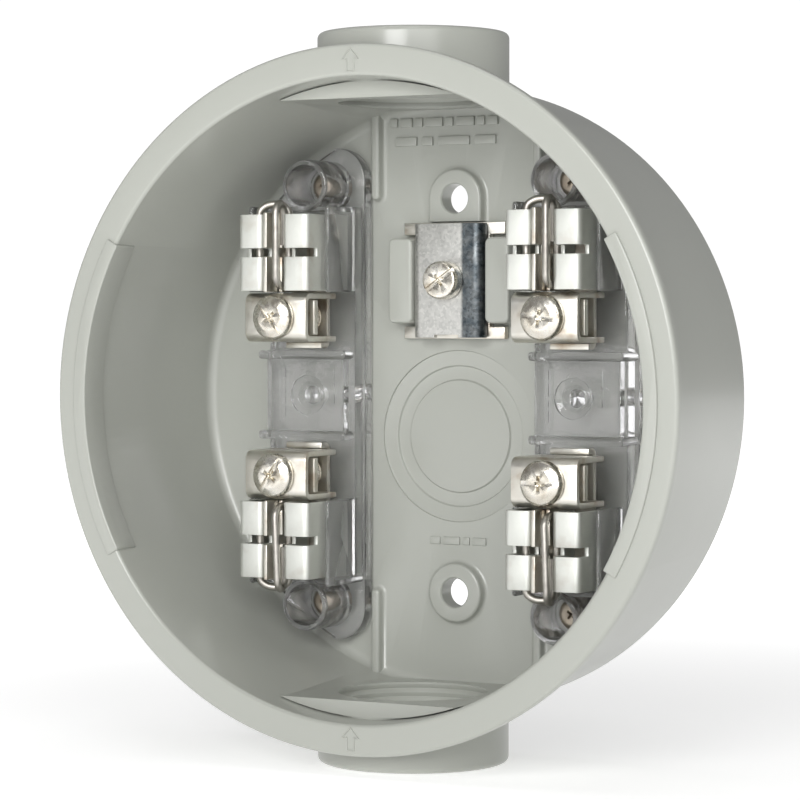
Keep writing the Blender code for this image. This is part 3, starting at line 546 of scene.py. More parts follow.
# %% Bosses and ribs on the floor
HOLE_OUT = 52.0 * MM
BOSS = 7.8 * MM
BOSS_TOP = FLOOR + 2.5 * MM
BLOCK_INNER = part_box("right_terminal_block")[0].x
PLATE_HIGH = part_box("neutral_base")[1]
SCREW_LOW, SCREW_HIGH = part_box("neutral_screw")
NEUTRAL_Z = (SCREW_LOW.z + SCREW_HIGH.z) / 2
SADDLE_HALF = 3.6 * MM
SADDLE_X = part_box("neutral_clamp_plate")[1].x + 0.5 * MM + SADDLE_HALF
SADDLE_TOP = FLOOR + 6.2 * MM
RIB_TOP = FLOOR + 2.5 * MM
RIB_OUT = 63.6 * MM
FOOT = [(1.3, -0.6), (1.3, 0.0), (0.7, 0.12), (0.3, 0.38), (0.08, 0.8)]
CROWN = [(0.0, -0.7), (-0.10, -0.35), (-0.35, -0.10), (-0.7, 0.0)]


def flared(name, outline_at, top):
    """A boss that is lofted up from a wide foot to a rounded top, from a function of how far to grow."""
    levels = [(grow * MM, FLOOR + lift * MM) for grow, lift in FOOT]
    levels += [(grow * MM, top + lift * MM) for grow, lift in CROWN]
    bm = bmesh.new()
    rings = [[bm.verts.new((x, -height, z)) for x, z in outline_at(grow)] for grow, height in levels]
    for low, high in zip(rings, rings[1:]):
        for i in range(len(low)):
            j = (i + 1) % len(low)
            bm.faces.new((low[i], low[j], high[j], high[i]))
    bm.faces.new(rings[0][::-1])
    bm.faces.new(rings[-1])
    return new_object(name, bm)


def round_outline(radius, x, z):
    """A full circle."""
    return lambda grow: arc(radius + grow, 0.0, math.tau, 64, x, z)[:-1]


def arch_outline(radius, z, foot):
    """A half round over straight sides, which end at a level foot."""
    def outline(grow):
        top = arc(radius + grow, 0.0, math.pi, 40, 0.0, z)
        return top + [(-radius - grow, foot), (radius + grow, foot)]
    return outline


def stadium_outline(half_width, x, z, half_length):
    """A long outline with round corners."""
    def outline(grow):
        reach, radius = half_width + grow, min(1.6 * MM, 0.92 * half_width) + grow
        points = []
        for sx, sz, start in ((1, 1, 0.0), (-1, 1, 90.0), (-1, -1, 180.0), (1, -1, 270.0)):
            cx, cz = x + sx * (reach - radius), z + sz * (half_length + grow - radius)
            points += arc(radius, math.radians(start), math.radians(start + 90), 6, cx, cz)
        return points
    return outline


JOINED.append(flared("upper_boss", arch_outline(BOSS, HOLE_OUT, PLATE_HIGH.z + 0.3 * MM), BOSS_TOP))
JOINED.append(flared("lower_boss", round_outline(BOSS, 0.0, -HOLE_OUT), BOSS_TOP))
for side in (-1, 1):
    outline = stadium_outline(3.55 * MM, side * SADDLE_X, NEUTRAL_Z, 11.2 * MM)
    JOINED.append(flared("saddle_rib", outline, SADDLE_TOP))
    for end in (-1, 1):
        x = side * (BLOCK_INNER - 1.8 * MM)
        outline = stadium_outline(1.25 * MM, x, end * RIB_OUT, 11.5 * MM)
        JOINED.append(flared("locating_rib", outline, RIB_TOP))
print("joined to the cup:", len(JOINED))

# %% [markdown]
# A knockout is a disc that is held by a thin web, so that it can be punched out for a conduit of its size.
# Three sizes share one centre. Inside they show as shallow steps, and on the back as fine grooves.

# %% Knockouts and holes
KNOCKOUT = -10.7 * MM
STEPS = [(22.7 * MM, 0.60 * MM), (18.45 * MM, 1.20 * MM), (14.75 * MM, 0.60 * MM)]


GROOVE_HALF = 0.22 * MM
GROOVE_DEPTH = 0.5 * MM
HOLE_RADIUS = 3.85 * MM
HOLE_MOUTH = 4.25 * MM
NEUTRAL_HOLE = 3.3 * MM
ABOVE, BELOW = 9 * MM, -1 * MM


def ring_cutter(name, radius, half, low, high):
    """A square ring that cuts a groove."""
    inner, outer = radius - half, radius + half
    corners = [(inner, low, 0), (inner, high, 0), (outer, high, 0), (outer, low, 0), (inner, low, 0)]
    return turned(name, corners, 0.0, KNOCKOUT, steps=96)


largest = STEPS[0][0]
profile = [(0.0, FLOOR + 1 * MM, 0), (largest + 0.6 * MM, FLOOR + 1 * MM, 0), (largest, FLOOR - 0.2 * MM, 0)]
for i, (radius, drop) in enumerate(STEPS):
    profile.append((radius, FLOOR - drop, 0.15 * MM))
    if i + 1 < len(STEPS):
        profile.append((STEPS[i + 1][0] + 0.35 * MM, FLOOR - drop, 0.15 * MM))
profile.append((0.0, FLOOR - STEPS[-1][1], 0))
CUT.append(turned("knockout_steps", profile, 0.0, KNOCKOUT, steps=128))
for radius, _drop in STEPS:
    CUT.append(ring_cutter("knockout_groove", radius, GROOVE_HALF, -GROOVE_DEPTH, GROOVE_DEPTH))
for side in (1, -1):
    CUT.append(turned("mounting_hole", [
        (0.0, ABOVE, 0), (HOLE_MOUTH, ABOVE, 0), (HOLE_MOUTH, BOSS_TOP + 0.05 * MM, 0),
        (HOLE_RADIUS, BOSS_TOP - 0.4 * MM, 0.3 * MM), (HOLE_RADIUS, BELOW, 0), (0.0, BELOW, 0)],
        0.0, side * HOLE_OUT, steps=64))
CUT.append(turned("neutral_hole", [(0.0, ABOVE, 0), (NEUTRAL_HOLE, ABOVE, 0), (NEUTRAL_HOLE, BELOW, 0),
                                   (0.0, BELOW, 0)], 0.0, NEUTRAL_Z, steps=48))
print("cutters:", len(CUT))

# %% [markdown]
# The floor also carries two lines of small cast characters above the upper hole and one above the lower
# hole. Plain raised dashes of unequal length stand where those lines run, so the casting keeps its worked
# look and says nothing.

# %% Cast dashes in place of lettering
def dashes(name, x, z, lengths, height, low, high, gap=0.9 * MM):
    """A row of plain raised dashes that starts at x."""
    row = []
    for length in lengths:
        dash = block(name, (x, x + length * MM), (low, high), (z - height / 2, z + height / 2))
        row.append(soften(dash, 0.18 * MM, 2))
        x += length * MM + gap
    return row


ROOTED = FLOOR - 0.3 * MM
PROUD, PROUD_SMALL = FLOOR + 0.7 * MM, FLOOR + 0.5 * MM
TALL, SMALL = 2.3 * MM, 2.0 * MM
TOP_ROW = (2.2, 3.6, 2.2, 5.2, 2.2, 5.4, 2.2, 3.0)
ROWS = dashes("cast_dash", -20.5 * MM, 72.4 * MM, TOP_ROW, TALL, ROOTED, PROUD)
ROWS += dashes("cast_dash", -18.8 * MM, 67.4 * MM, (6.4, 3.2, 9.4, 6.2), TALL, ROOTED, PROUD, 1.6 * MM)
ROWS += dashes("cast_dash", -8.4 * MM, -38.4 * MM, (3.0, 5.0, 2.0, 4.0), SMALL, ROOTED, PROUD_SMALL)
print("dashes:", len(ROWS))

# %% [markdown]
# Booleans are slow on many small shapes, so the order matters: join what is big, cut once, and only then
# add the arrows and dashes, which sit on flat faces. Those last ones stay separate shells inside the one
# piece.

# %% Put the casting together
combine(cup, JOINED, "UNION")
combine(cup, CUT)
gather(cup, ARROWS + ROWS)
hand_over(cup, "enclosure", PAINT)
print("casting:", len(cup.data.polygons), "faces")

# %% [markdown]
# Each terminal block is one clear moulding. It has a flange on the floor, a platform that the copper sits
# on, a raised middle between two ridges, thin walls round each jaw, and a tower at each end for its fixing
# screw. The shapes are rounded one by one and then joined, because a Bevel after the Booleans would stumble
# on the short edges where they meet.

# %% Sizes of a terminal block
TOWER_X = 36.8 * MM
TOWER_OUT = 55.6 * MM
BLOCK_BACK = FLOOR + 0.3 * MM
FLANGE_TOP = BLOCK_BACK + 4.2 * MM
PLATFORM = 12.0 * MM
MIDDLE = 15.0 * MM
RIDGE = 16.8 * MM
TOWER_TOP = 21.0 * MM
WELL_SEAT = 7.6 * MM
MARK_TOP = 7.2 * MM
MARK_WIDTH = 1.3 * MM
MARK_ROOT, MARK_PROUD = 0.2 * MM, 0.22 * MM
CAGE_LOW, CAGE_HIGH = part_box("upper_right_lug_cage")
CELL_X = (CAGE_LOW.x + CAGE_HIGH.x) / 2
GUIDE_LOW, GUIDE_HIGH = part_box("upper_right_jaw_guide_left")
JAW_IN, JAW_OUT = GUIDE_LOW.z, GUIDE_HIGH.z


def soft_block(name, xs, heights, zs, edge=0.5 * MM, segments=3):
    """A box with rounded edges."""
    return soften(block(name, sorted(xs), heights, sorted(zs)), edge, segments)


print(f"cell centre {CELL_X * 1000:.1f} mm, jaw from {JAW_IN * 1000:.1f} to {JAW_OUT * 1000:.1f} mm out")

# %% [markdown]
# A block's parts fall into what stands on the flange, what is cut away, and the small bars that stand in
# for moulded characters. Each gets a function, so that the left and the right block differ only by their
# side.

# %% The parts of a block
def flange(name, side):
    """The flange: round corners towards the middle, and the enclosure's own curve outside."""
    low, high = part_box(name)
    inner = min(abs(low.x), abs(high.x))
    reach = FLOOR_RADIUS - 2.9 * MM
    end = high.z
    corner = 9.0 * MM
    outer = 54.4 * MM
    turn = math.atan2(math.sqrt(reach ** 2 - outer ** 2), outer)
    tip = math.asin(end / reach)
    points = arc(reach, turn, tip, 14)
    points += arc(corner, math.pi / 2, math.pi, 10, inner + corner, end - corner)
    points += [(x, -z) for x, z in reversed(points)]
    return soften(slab(name, [(side * x, z) for x, z in points], BLOCK_BACK, FLANGE_TOP), 0.7 * MM, 3, 50)


def block_bodies(side):
    """The shapes that stand on the flange."""
    low = BLOCK_BACK + 2 * MM
    centre = side * CELL_X
    left, right = centre - 10.9 * MM, centre + 11.1 * MM
    bodies = [
        soft_block("platform", (side * 26.6 * MM, side * 53.2 * MM), (low, PLATFORM), (-50 * MM, 50 * MM),
                   0.7 * MM),
        soft_block("middle", (side * 28.4 * MM, side * 52.4 * MM), (low, MIDDLE), (-10.7 * MM, 10.7 * MM),
                   0.8 * MM),
    ]
    for end in (-1, 1):
        bodies.append(soft_block("ridge", (side * 26.9 * MM, side * 54.1 * MM), (low, RIDGE),
                                 (end * 9.5 * MM, end * 11.9 * MM), 1.1 * MM, 4))
        for edge, step in ((left, -1.5 * MM), (right, 1.5 * MM)):
            bodies.append(soft_block("jaw_wall", (edge, edge + step), (low, 25.0 * MM),
                                     (end * 27.4 * MM, end * 50.1 * MM), 0.6 * MM))
        bodies.append(soft_block("end_wall", (left - 0.75 * MM, right + 0.75 * MM), (low, 20.0 * MM),
                                 (end * 48.6 * MM, end * 50.1 * MM), 0.5 * MM))
        bodies.append(turned("tower", [(0.0, low, 0), (7.0 * MM, low, 0), (6.85 * MM, TOWER_TOP, 0.7 * MM),
                                       (0.0, TOWER_TOP, 0)], side * TOWER_X, end * TOWER_OUT, steps=64))
    return bodies


def block_cuts(side):
    """The screw wells and the middle hole with its ring."""
    cuts = []
    for end in (-1, 1):
        cuts.append(turned("well", [
            (0.0, 26 * MM, 0), (5.9 * MM, 26 * MM, 0), (5.5 * MM, TOWER_TOP - 0.2 * MM, 0.4 * MM),
            (5.35 * MM, WELL_SEAT, 0.7 * MM), (2.4 * MM, WELL_SEAT, 0), (2.4 * MM, 0.0, 0), (0.0, 0.0, 0)],
            side * TOWER_X, end * TOWER_OUT, steps=64))
    cuts.append(turned("middle_hole", [
        (0.0, 20 * MM, 0), (5.4 * MM, 20 * MM, 0), (5.3 * MM, MIDDLE - 0.7 * MM, 0.3 * MM),
        (3.6 * MM, MIDDLE - 1.0 * MM, 0.5 * MM), (2.4 * MM, MIDDLE - 2.6 * MM, 0.6 * MM), (2.3 * MM, 0.0, 0),
        (0.0, 0.0, 0)], side * CELL_X, 0.0, steps=64))
    return cuts


def block_marks(side):
    """Plain bars in two columns beside the middle hole."""
    bars = []
    for column, lengths in ((-8.1, (2.4, 3.4, 1.6, 3.0)), (7.1, (3.0, 1.8, 2.6))):
        z = MARK_TOP
        for length in lengths:
            x = side * CELL_X + column * MM
            bar = block("mark", (x, x + MARK_WIDTH), (MIDDLE - MARK_ROOT, MIDDLE + MARK_PROUD),
                        (z - length * MM, z))
            bars.append(soften(bar, 0.1 * MM, 1))
            z -= (length + 1.0) * MM
    return bars


print("block functions ready")

# %% [markdown]
# The bodies and the bars are joined in one go, and the wells and holes are cut after that, so a cut always
# runs through everything that stands in its way.

# %% Make both blocks
for tag, side in (("left", -1), ("right", 1)):
    name = f"{tag}_terminal_block"
    clear_block = flange(name, side)
    combine(clear_block, block_bodies(side) + block_marks(side), "UNION")
    combine(clear_block, block_cuts(side))
    clear_block.name = f"clear_block_{tag}"
    hand_over(clear_block, name, CLEAR)
    print(clear_block.name, len(clear_block.data.polygons), "faces")

# %% [markdown]
# A screw is a turned head and shank, a recess cut into the head, and a thread. The recess here takes both a
# flat blade and a cross driver, as on most lug screws. The thread is one ridge with a three-sided section
# that winds up the shank. It could be cut with a Boolean, but a ridge that is laid on is lighter and stays
# closed.

# %% Screw tools
def thread(radius, pitch, low, high, depth, steps=24):
    """A closed ridge wound right-handed round the Y axis between two heights."""
    bm = bmesh.new()
    count = int((high - low) / pitch * steps)
    rings = []
    for i in range(count + 1):
        angle = math.tau * i / steps
        level = low + pitch * i / steps
        crest = radius + depth * min(1.0, 2 * i / steps, 2 * (count - i) / steps)
        section = ((radius - 0.1 * MM, -0.42 * pitch), (crest, 0.0), (radius - 0.1 * MM, 0.42 * pitch))
        rings.append([bm.verts.new((r * math.cos(angle), -(level + lift), r * math.sin(angle)))
                      for r, lift in section])
    for low_ring, high_ring in zip(rings, rings[1:]):
        for i in range(3):
            j = (i + 1) % 3
            bm.faces.new((low_ring[i], low_ring[j], high_ring[j], high_ring[i]))
    bm.faces.new(rings[0][::-1])
    bm.faces.new(rings[-1])
    return new_object("thread", bm)


def driver_recess(crown, reach, turn, slot_width, slot_depth, cross):
    """Cutters for a slot across the head and a tapered cross at its middle."""
    cutters = []
    if slot_width:
        cutters.append(block("slot", (-reach * 1.3, reach * 1.3), (crown - slot_depth, crown + 2 * MM),
                             (-slot_width / 2, slot_width / 2)))
    for quarter in (0, 1):
        bm = bmesh.new()
        bmesh.ops.create_cube(bm, size=1.0)
        for vert in bm.verts:
            outer = vert.co.y < 0
            vert.co.x *= cross * 2 if outer else cross * 0.7
            vert.co.z *= cross * 0.42 if outer else cross * 0.25
            vert.co.y = -(crown + 1 * MM) if outer else -(crown - cross * 0.85)
        bmesh.ops.rotate(bm, matrix=Matrix.Rotation(quarter * math.pi / 2, 3, "Y"), verts=bm.verts)
        cutters.append(new_object("cross", bm))
    for cutter in cutters:
        cutter.data.transform(Matrix.Rotation(turn, 4, "Y"))
    return cutters


def screw(name, node, corners, core, pitch, thread_from, thread_to, turn, cross, slot=(0.0, 0.0), body=ROOT,
          finish=ZINC):
    """A finished screw in the place of a solid one. The slot is its width and its depth."""
    low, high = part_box(node)
    crown, head = corners[0][1], max(corner[0] for corner in corners)
    made = turned(name, corners, steps=96)
    combine(made, driver_recess(crown, head, math.radians(turn), *slot, cross))
    soften(made, 0.12 * MM, 2, 45)
    ridge = thread(core, pitch, thread_from, thread_to, pitch * 0.35)
    gather(made, [ridge])
    made.data.transform(Matrix.Translation(((low.x + high.x) / 2, 0.0, (low.z + high.z) / 2)))
    return hand_over(made, node, finish, body)


print("screw tools ready")

# %% [markdown]
# The four screws that hold the blocks sit at the bottom of their wells, so only their heads show. They have
# a low pan head and a cross recess.

# %% The block screws
BLOCK_CORE = 1.75 * MM
UNDERHEAD = WELL_SEAT + 0.3 * MM
for i, corner in enumerate(CORNERS):
    node = f"{corner}_block_screw"
    low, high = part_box(node)
    crown, tip = -low.y, -high.y
    profile = [
        (0.0, crown, 0), (3.0 * MM, crown - 0.15 * MM, 1.5 * MM), (4.05 * MM, crown - 1.2 * MM, 0.8 * MM),
        (4.1 * MM, UNDERHEAD, 0.3 * MM), (BLOCK_CORE, UNDERHEAD, 0), (BLOCK_CORE, tip + 0.6 * MM, 0),
        (1.2 * MM, tip, 0), (0.0, tip, 0)]
    screw(f"block_fixing_screw_{corner}", node, profile, BLOCK_CORE, pitch=0.8 * MM,
          thread_from=tip + 0.8 * MM, thread_to=WELL_SEAT, turn=20 + 37 * i, cross=1.9 * MM, finish=DULL_ZINC)
print("block screws:", len(CORNERS))

# %% [markdown]
# Each jaw is folded from copper sheet. Two guides make its flat lips: an outer wall, a lip across the
# front, and a return down inside. A slot splits every lip, so that each half can bend on its own. All the
# metal is folded from one centre line per piece, which keeps the sheet the same thickness everywhere.

# %% Jaw guides and terminal strips
SHEET = 1.2 * MM
SLOT_HALF = 1.15 * MM
SLOT_DEPTH = 5 * MM
RETURN_DEPTH = 11 * MM
FOOT_WIDTH = 3.4 * MM
STRIP = 1.6 * MM


def cell(corner):
    """A corner's centre line in X, and whether it is above or below the middle."""
    low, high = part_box(f"{corner}_lug_cage")
    return (low.x + high.x) / 2, 1 if low.z > 0 else -1


def lip_slot(low, high):
    """A cutter for the slot half way along a lip or a leaf with these bounds."""
    middle = (low.z + high.z) / 2
    return block("slot", (low.x - 1 * MM, high.x + 1 * MM), (-low.y - SLOT_DEPTH, -low.y + 1 * MM),
                 (middle - SLOT_HALF, middle + SLOT_HALF))


def jaw_guide(corner, tag):
    """One flat lip of a jaw with its outer wall and its return."""
    node = f"{corner}_jaw_guide_{tag}"
    low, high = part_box(node)
    toward = 1 if tag == "left" else -1
    wall = (low.x if tag == "left" else high.x) + toward * SHEET / 2
    lip = (high.x if tag == "left" else low.x) - toward * SHEET / 2
    front, back = -low.y - SHEET / 2, -high.y + SHEET / 2
    path = rounded([(wall + toward * FOOT_WIDTH, back, 0), (wall, back, 1.1 * MM), (wall, front, 1.1 * MM),
                    (lip, front, 0.9 * MM), (lip, front + SHEET / 2 - RETURN_DEPTH, 0)])
    guide = folded(f"jaw_lip_{tag}_{corner}", [(x, -height, low.z) for x, height in path],
                   Vector((0.0, 0.0, high.z - low.z)), SHEET, 0.0)
    combine(guide, [lip_slot(low, high)])
    return hand_over(soften(guide, 0.14 * MM, 2, 50), node, TIN)


def terminal_strip(corner):
    """The flat copper strip under a jaw and its lug, with a tab bent up at the end."""
    node = f"{corner}_terminal_strip"
    low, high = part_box(node)
    _centre, side = cell(corner)
    inner = (low.z if side > 0 else high.z) + side * STRIP / 2
    outer = high.z if side > 0 else low.z
    flat = -high.y + STRIP / 2
    path = rounded([(-low.y, inner, 0), (flat, inner, 1.6 * MM), (flat, outer, 0)])
    strip = folded(f"terminal_strip_{corner}", [(low.x, -height, z) for height, z in path],
                   Vector((high.x - low.x, 0.0, 0.0)), STRIP, 0.25 * MM)
    return hand_over(strip, node, LUG_TIN)


for corner in CORNERS:
    terminal_strip(corner)
    for tag in ("left", "right"):
        jaw_guide(corner, tag)
print("guides and strips:", len(CORNERS) * 3)

# %% [markdown]
# Between the lips of each jaw stand two contact leaves, which grip the meter's blade. Each one hinges at
# its foot by a degree or so. The left leaf stands a little proud of the lips and the right one sits deeper.

# %% Contact leaves
def contact(corner, tag):
    """One contact leaf, which rides on its own hinged body."""
    node = f"{corner}_jaw_contact_{tag}"
    low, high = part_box(node)
    leaf = block(f"contact_leaf_{tag}_{corner}", (low.x, high.x), (-high.y, -low.y), (low.z, high.z))
    combine(leaf, [lip_slot(low, high)])
    soften(leaf, 0.22 * MM, 3, 50)
    return hand_over(leaf, node, LUG_TIN, f"{corner}_contact_{tag}_body")


for corner in CORNERS:
    for tag in ("left", "right"):
        contact(corner, tag)
print("contact leaves:", len(CORNERS) * 2)

# %% [markdown]
# One round wire presses each jaw shut. It comes up inside the left lip, arches over the jaw's end, dives
# deep between the leaves, turns round to the front, runs the height of the jaw, and arches straight back
# in. A curve with a bevel is the way to make wire: only its path has to be right.

# %% Jaw springs
SPRING = 1.0 * MM
ARCH = 2.6 * MM
DEEP_LEG, FRONT_LEG = 1.45 * MM, 1.85 * MM
INNER_LEG_Y, DEEP_LEG_Y = -29.5 * MM, -26.9 * MM
LEAN = 0.35 * MM


def half_loop(start, end, rise, steps=16):
    """Points over half an ellipse between two points, rising along Z."""
    points = []
    for i in range(1, steps):
        angle = math.pi * i / steps
        point = start.lerp(end, (1 - math.cos(angle)) / 2)
        point.z += rise * math.sin(angle)
        points.append(point)
    return points


def jaw_spring(corner):
    """One wire from inside the left lip, round between the leaves and up the front, to its end behind."""
    node = f"{corner}_jaw_spring"
    low, _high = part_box(node)
    centre, side = cell(corner)
    left, middle, front = low.x + SPRING, centre + DEEP_LEG, low.y + SPRING
    lean = LEAN if side < 0 else 0.0
    foot, head = centre + FRONT_LEG - lean, centre + FRONT_LEG + lean
    bottom = side * (JAW_IN + ARCH + SPRING + 0.15 * MM)
    top = side * (JAW_OUT + SPRING * 0.2)
    path = [Vector((left, INNER_LEG_Y, bottom)), Vector((left, INNER_LEG_Y, top))]
    path += half_loop(path[-1], Vector((middle, DEEP_LEG_Y, top)), side * ARCH)
    path += [Vector((middle, DEEP_LEG_Y, top)), Vector((middle, DEEP_LEG_Y, bottom))]
    path += half_loop(path[-1], Vector((foot, front, bottom)), -side * ARCH)
    path += [Vector((foot, front, bottom)), Vector((head, front, top))]
    path += half_loop(path[-1], Vector((middle, INNER_LEG_Y, top)), side * ARCH)
    path += [Vector((middle, INNER_LEG_Y, top)), Vector((middle, INNER_LEG_Y, (bottom + top) / 2))]
    return hand_over(wire_loop(f"jaw_spring_wire_{corner}", path, SPRING, False), node, WIRE)


for corner in CORNERS:
    jaw_spring(corner)
print("springs:", len(CORNERS))

# %% [markdown]
# A lug is a folded cage round a nut plate. Its screw runs through both, and a pressure pad on its tip
# clamps the conductor onto the strip. The screw turns and rides out with its pad, so those two are their
# own pieces on their own bodies.

# %% Lug cages and nut plates
CAGE_SHEET = 1.5 * MM
CAGE_HOLE = 3.5 * MM
NUT_SHEET = 2 * MM
NUT_BORE = 3.25 * MM
COLLAR, COLLAR_FOOT = 4.2 * MM, 4.8 * MM


def lug_cage(corner):
    """The folded cage, with the screw's hole through its front."""
    node = f"{corner}_lug_cage"
    low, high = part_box(node)
    half = CAGE_SHEET / 2
    front, back = -low.y - half, -high.y
    path = rounded([(back, low.z + half, 0), (front, low.z + half, 1.9 * MM),
                    (front, high.z - half, 1.9 * MM), (back, high.z - half, 0)], 7)
    cage = folded(f"lug_cage_{corner}", [(low.x, -height, z) for height, z in path],
                  Vector((high.x - low.x, 0.0, 0.0)), CAGE_SHEET, 0.3 * MM)
    ahead, behind = front + 3 * MM, front - 3 * MM
    hole = turned("hole", [(0.0, ahead, 0), (CAGE_HOLE, ahead, 0), (CAGE_HOLE, behind, 0), (0.0, behind, 0)],
                  (low.x + high.x) / 2, (low.z + high.z) / 2, 48)
    combine(cage, [hole])
    return hand_over(cage, node, LUG_TIN)


def nut_plate(corner):
    """The nut plate, whose collar carries the thread."""
    node = f"{corner}_lug_nut_plate"
    low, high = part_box(node)
    x, z = (low.x + high.x) / 2, (low.z + high.z) / 2
    back, top = -high.y, -low.y
    plate = block(f"lug_nut_plate_{corner}", (low.x, high.x), (back, back + NUT_SHEET), (low.z, high.z))
    soften(plate, 0.3 * MM)
    collar = turned("collar", [
        (0.0, back + 1 * MM, 0), (COLLAR_FOOT, back + 1 * MM, 0), (COLLAR, back + 2.6 * MM, 0.6 * MM),
        (COLLAR, top, 0.4 * MM), (0.0, top, 0)], x, z, 48)
    bore = turned("bore", [(0.0, top + PAST, 0), (NUT_BORE, top + PAST, 0), (NUT_BORE, back - PAST, 0),
                           (0.0, back - PAST, 0)], x, z, 48)
    combine(plate, [collar], "UNION")
    combine(plate, [bore])
    return hand_over(plate, node, LUG_TIN)


for corner in CORNERS:
    lug_cage(corner)
    nut_plate(corner)
print("cages and nut plates:", len(CORNERS) * 2)

# %% [markdown]
# No two lug screws stopped at the same angle when they were tightened, so each has its own turn. The pad is
# a plain round disc that stays on the screw's tip.

# %% Lug screws and pressure pads
SCREW_CORE = 2.75 * MM
SLOT_TURN = {"upper_left": 50, "upper_right": 8, "lower_left": -55, "lower_right": 0}


def lug_screw(corner):
    """A domed screw for a cross or a flat blade, which turns and rides out."""
    node = f"{corner}_lug_screw"
    low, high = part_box(node)
    crown, tip = -low.y, -high.y
    seat = crown - 3.0 * MM
    profile = [
        (0.0, crown, 0), (3.4 * MM, crown - 0.12 * MM, 2.5 * MM), (5.55 * MM, crown - 1.05 * MM, 1.2 * MM),
        (5.9 * MM, crown - 2.1 * MM, 0.5 * MM), (5.85 * MM, seat, 0.35 * MM), (SCREW_CORE, seat, 0),
        (SCREW_CORE, tip + 1.0 * MM, 0), (1.9 * MM, tip, 0), (0.0, tip, 0)]
    screw(f"lug_clamp_screw_{corner}", node, profile, SCREW_CORE, pitch=1.27 * MM, thread_from=tip + 1.3 * MM,
          thread_to=seat - 0.4 * MM, turn=SLOT_TURN[corner], cross=2.5 * MM, slot=(1.3 * MM, 1.0 * MM),
          body=f"{corner}_screw_body")


def pressure_pad(corner):
    """The pad on the screw's tip."""
    node = f"{corner}_lug_pressure_pad"
    low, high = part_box(node)
    x, z, radius = (low.x + high.x) / 2, (low.z + high.z) / 2, (high.x - low.x) / 2
    back, top = -high.y, -low.y
    pad = turned(f"lug_pressure_pad_{corner}", [
        (0.0, top, 0), (radius - 0.5 * MM, top, 0.2 * MM), (radius, top - 0.6 * MM, 0.3 * MM),
        (radius, back, 0.3 * MM), (0.0, back, 0)], x, z, 64)
    return hand_over(pad, node, ZINC, f"{corner}_pad_body")


for corner in CORNERS:
    lug_screw(corner)
    pressure_pad(corner)
print("lug screws and pads:", len(CORNERS) * 2)

# %% [markdown]
# The neutral conductor lies across the middle, between a flat tinned base and a channel-shaped plate that
# one cheese-head screw pulls down. The plate moves out with the screw, so it rides on the clamp's slide.

# %% The neutral clamp
CLAMP_SHEET = 1.6 * MM
BASE_BAR = 3.2 * MM
BASE_HOLE, PLATE_HOLE = 2.65 * MM, 2.9 * MM
NEUTRAL_CORE = 2.2 * MM
HEAD = 5.05 * MM


def neutral_base():
    """A flat base whose two ends reach past the saddle ribs."""
    low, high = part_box("neutral_base")
    inner = SADDLE_X - SADDLE_HALF - 0.3 * MM
    corners = [(high.x, low.z), (high.x, low.z + BASE_BAR), (inner, low.z + BASE_BAR),
               (inner, high.z - BASE_BAR), (high.x, high.z - BASE_BAR), (high.x, high.z)]
    outline = corners + [(-x, z) for x, z in reversed(corners)]
    base = soften(slab("neutral_base_plate", outline, -high.y, -low.y), 0.25 * MM, 2)
    hole = turned("hole", [(0.0, ABOVE, 0), (BASE_HOLE, ABOVE, 0), (BASE_HOLE, 0.0, 0), (0.0, 0.0, 0)],
                  0.0, NEUTRAL_Z, 48)
    combine(base, [hole])
    return hand_over(base, "neutral_base", LUG_TIN)


def neutral_plate():
    """The channel that clamps the conductor, with a shallow notch in its lower edge."""
    low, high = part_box("neutral_clamp_plate")
    edge, front = high.x - CLAMP_SHEET / 2, -low.y - CLAMP_SHEET / 2
    path = rounded([(-edge, -high.y, 0), (-edge, front, 1.7 * MM),
                    (edge, front, 1.7 * MM), (edge, -high.y, 0)], 7)
    plate = folded("neutral_clamp_channel", [(x, -height, low.z) for x, height in path],
                   Vector((0.0, 0.0, high.z - low.z)), CLAMP_SHEET, 0.22 * MM)
    ahead, behind = 14 * MM, 2 * MM
    corners = [(0.0, ahead, 0), (PLATE_HOLE, ahead, 0), (PLATE_HOLE, behind, 0), (0.0, behind, 0)]
    hole = turned("hole", corners, 0.0, NEUTRAL_Z, 48)
    notch = block("notch", (-3.6 * MM, 3.6 * MM), (behind, ahead), (low.z - 1 * MM, low.z + 0.8 * MM))
    combine(plate, [hole, notch])
    return hand_over(plate, "neutral_clamp_plate", CRYSTAL, "neutral_plate_body")


def neutral_screw():
    """A cheese-head screw for a cross or a flat blade."""
    crown, tip = -SCREW_LOW.y, -SCREW_HIGH.y
    seat = crown - 4.2 * MM
    profile = [
        (0.0, crown, 0), (4.7 * MM, crown - 0.1 * MM, 0.7 * MM), (HEAD, crown - 1.4 * MM, 0.5 * MM),
        (HEAD, seat, 0.25 * MM), (NEUTRAL_CORE, seat, 0), (NEUTRAL_CORE, tip + 0.9 * MM, 0),
        (1.5 * MM, tip, 0), (0.0, tip, 0)]
    screw("neutral_cheese_head_screw", "neutral_screw", profile, NEUTRAL_CORE, pitch=0.8 * MM,
          thread_from=tip + 1.1 * MM, thread_to=seat - 1.9 * MM, turn=-35, cross=2.3 * MM,
          slot=(1.2 * MM, 1.1 * MM), body="neutral_screw_body")


neutral_base()
neutral_plate()
neutral_screw()
print("neutral clamp at", round(NEUTRAL_Z * 1000, 1), "mm up")

# %% [markdown]
# The set is a plain pale floor under the lower hub and a pale surround. The floor gives off a little light
# of its own, more of it further out, which hides the line where it ends. The surround is bright to the
# camera and dim to everything else, so the metal keeps some dark in its reflections.

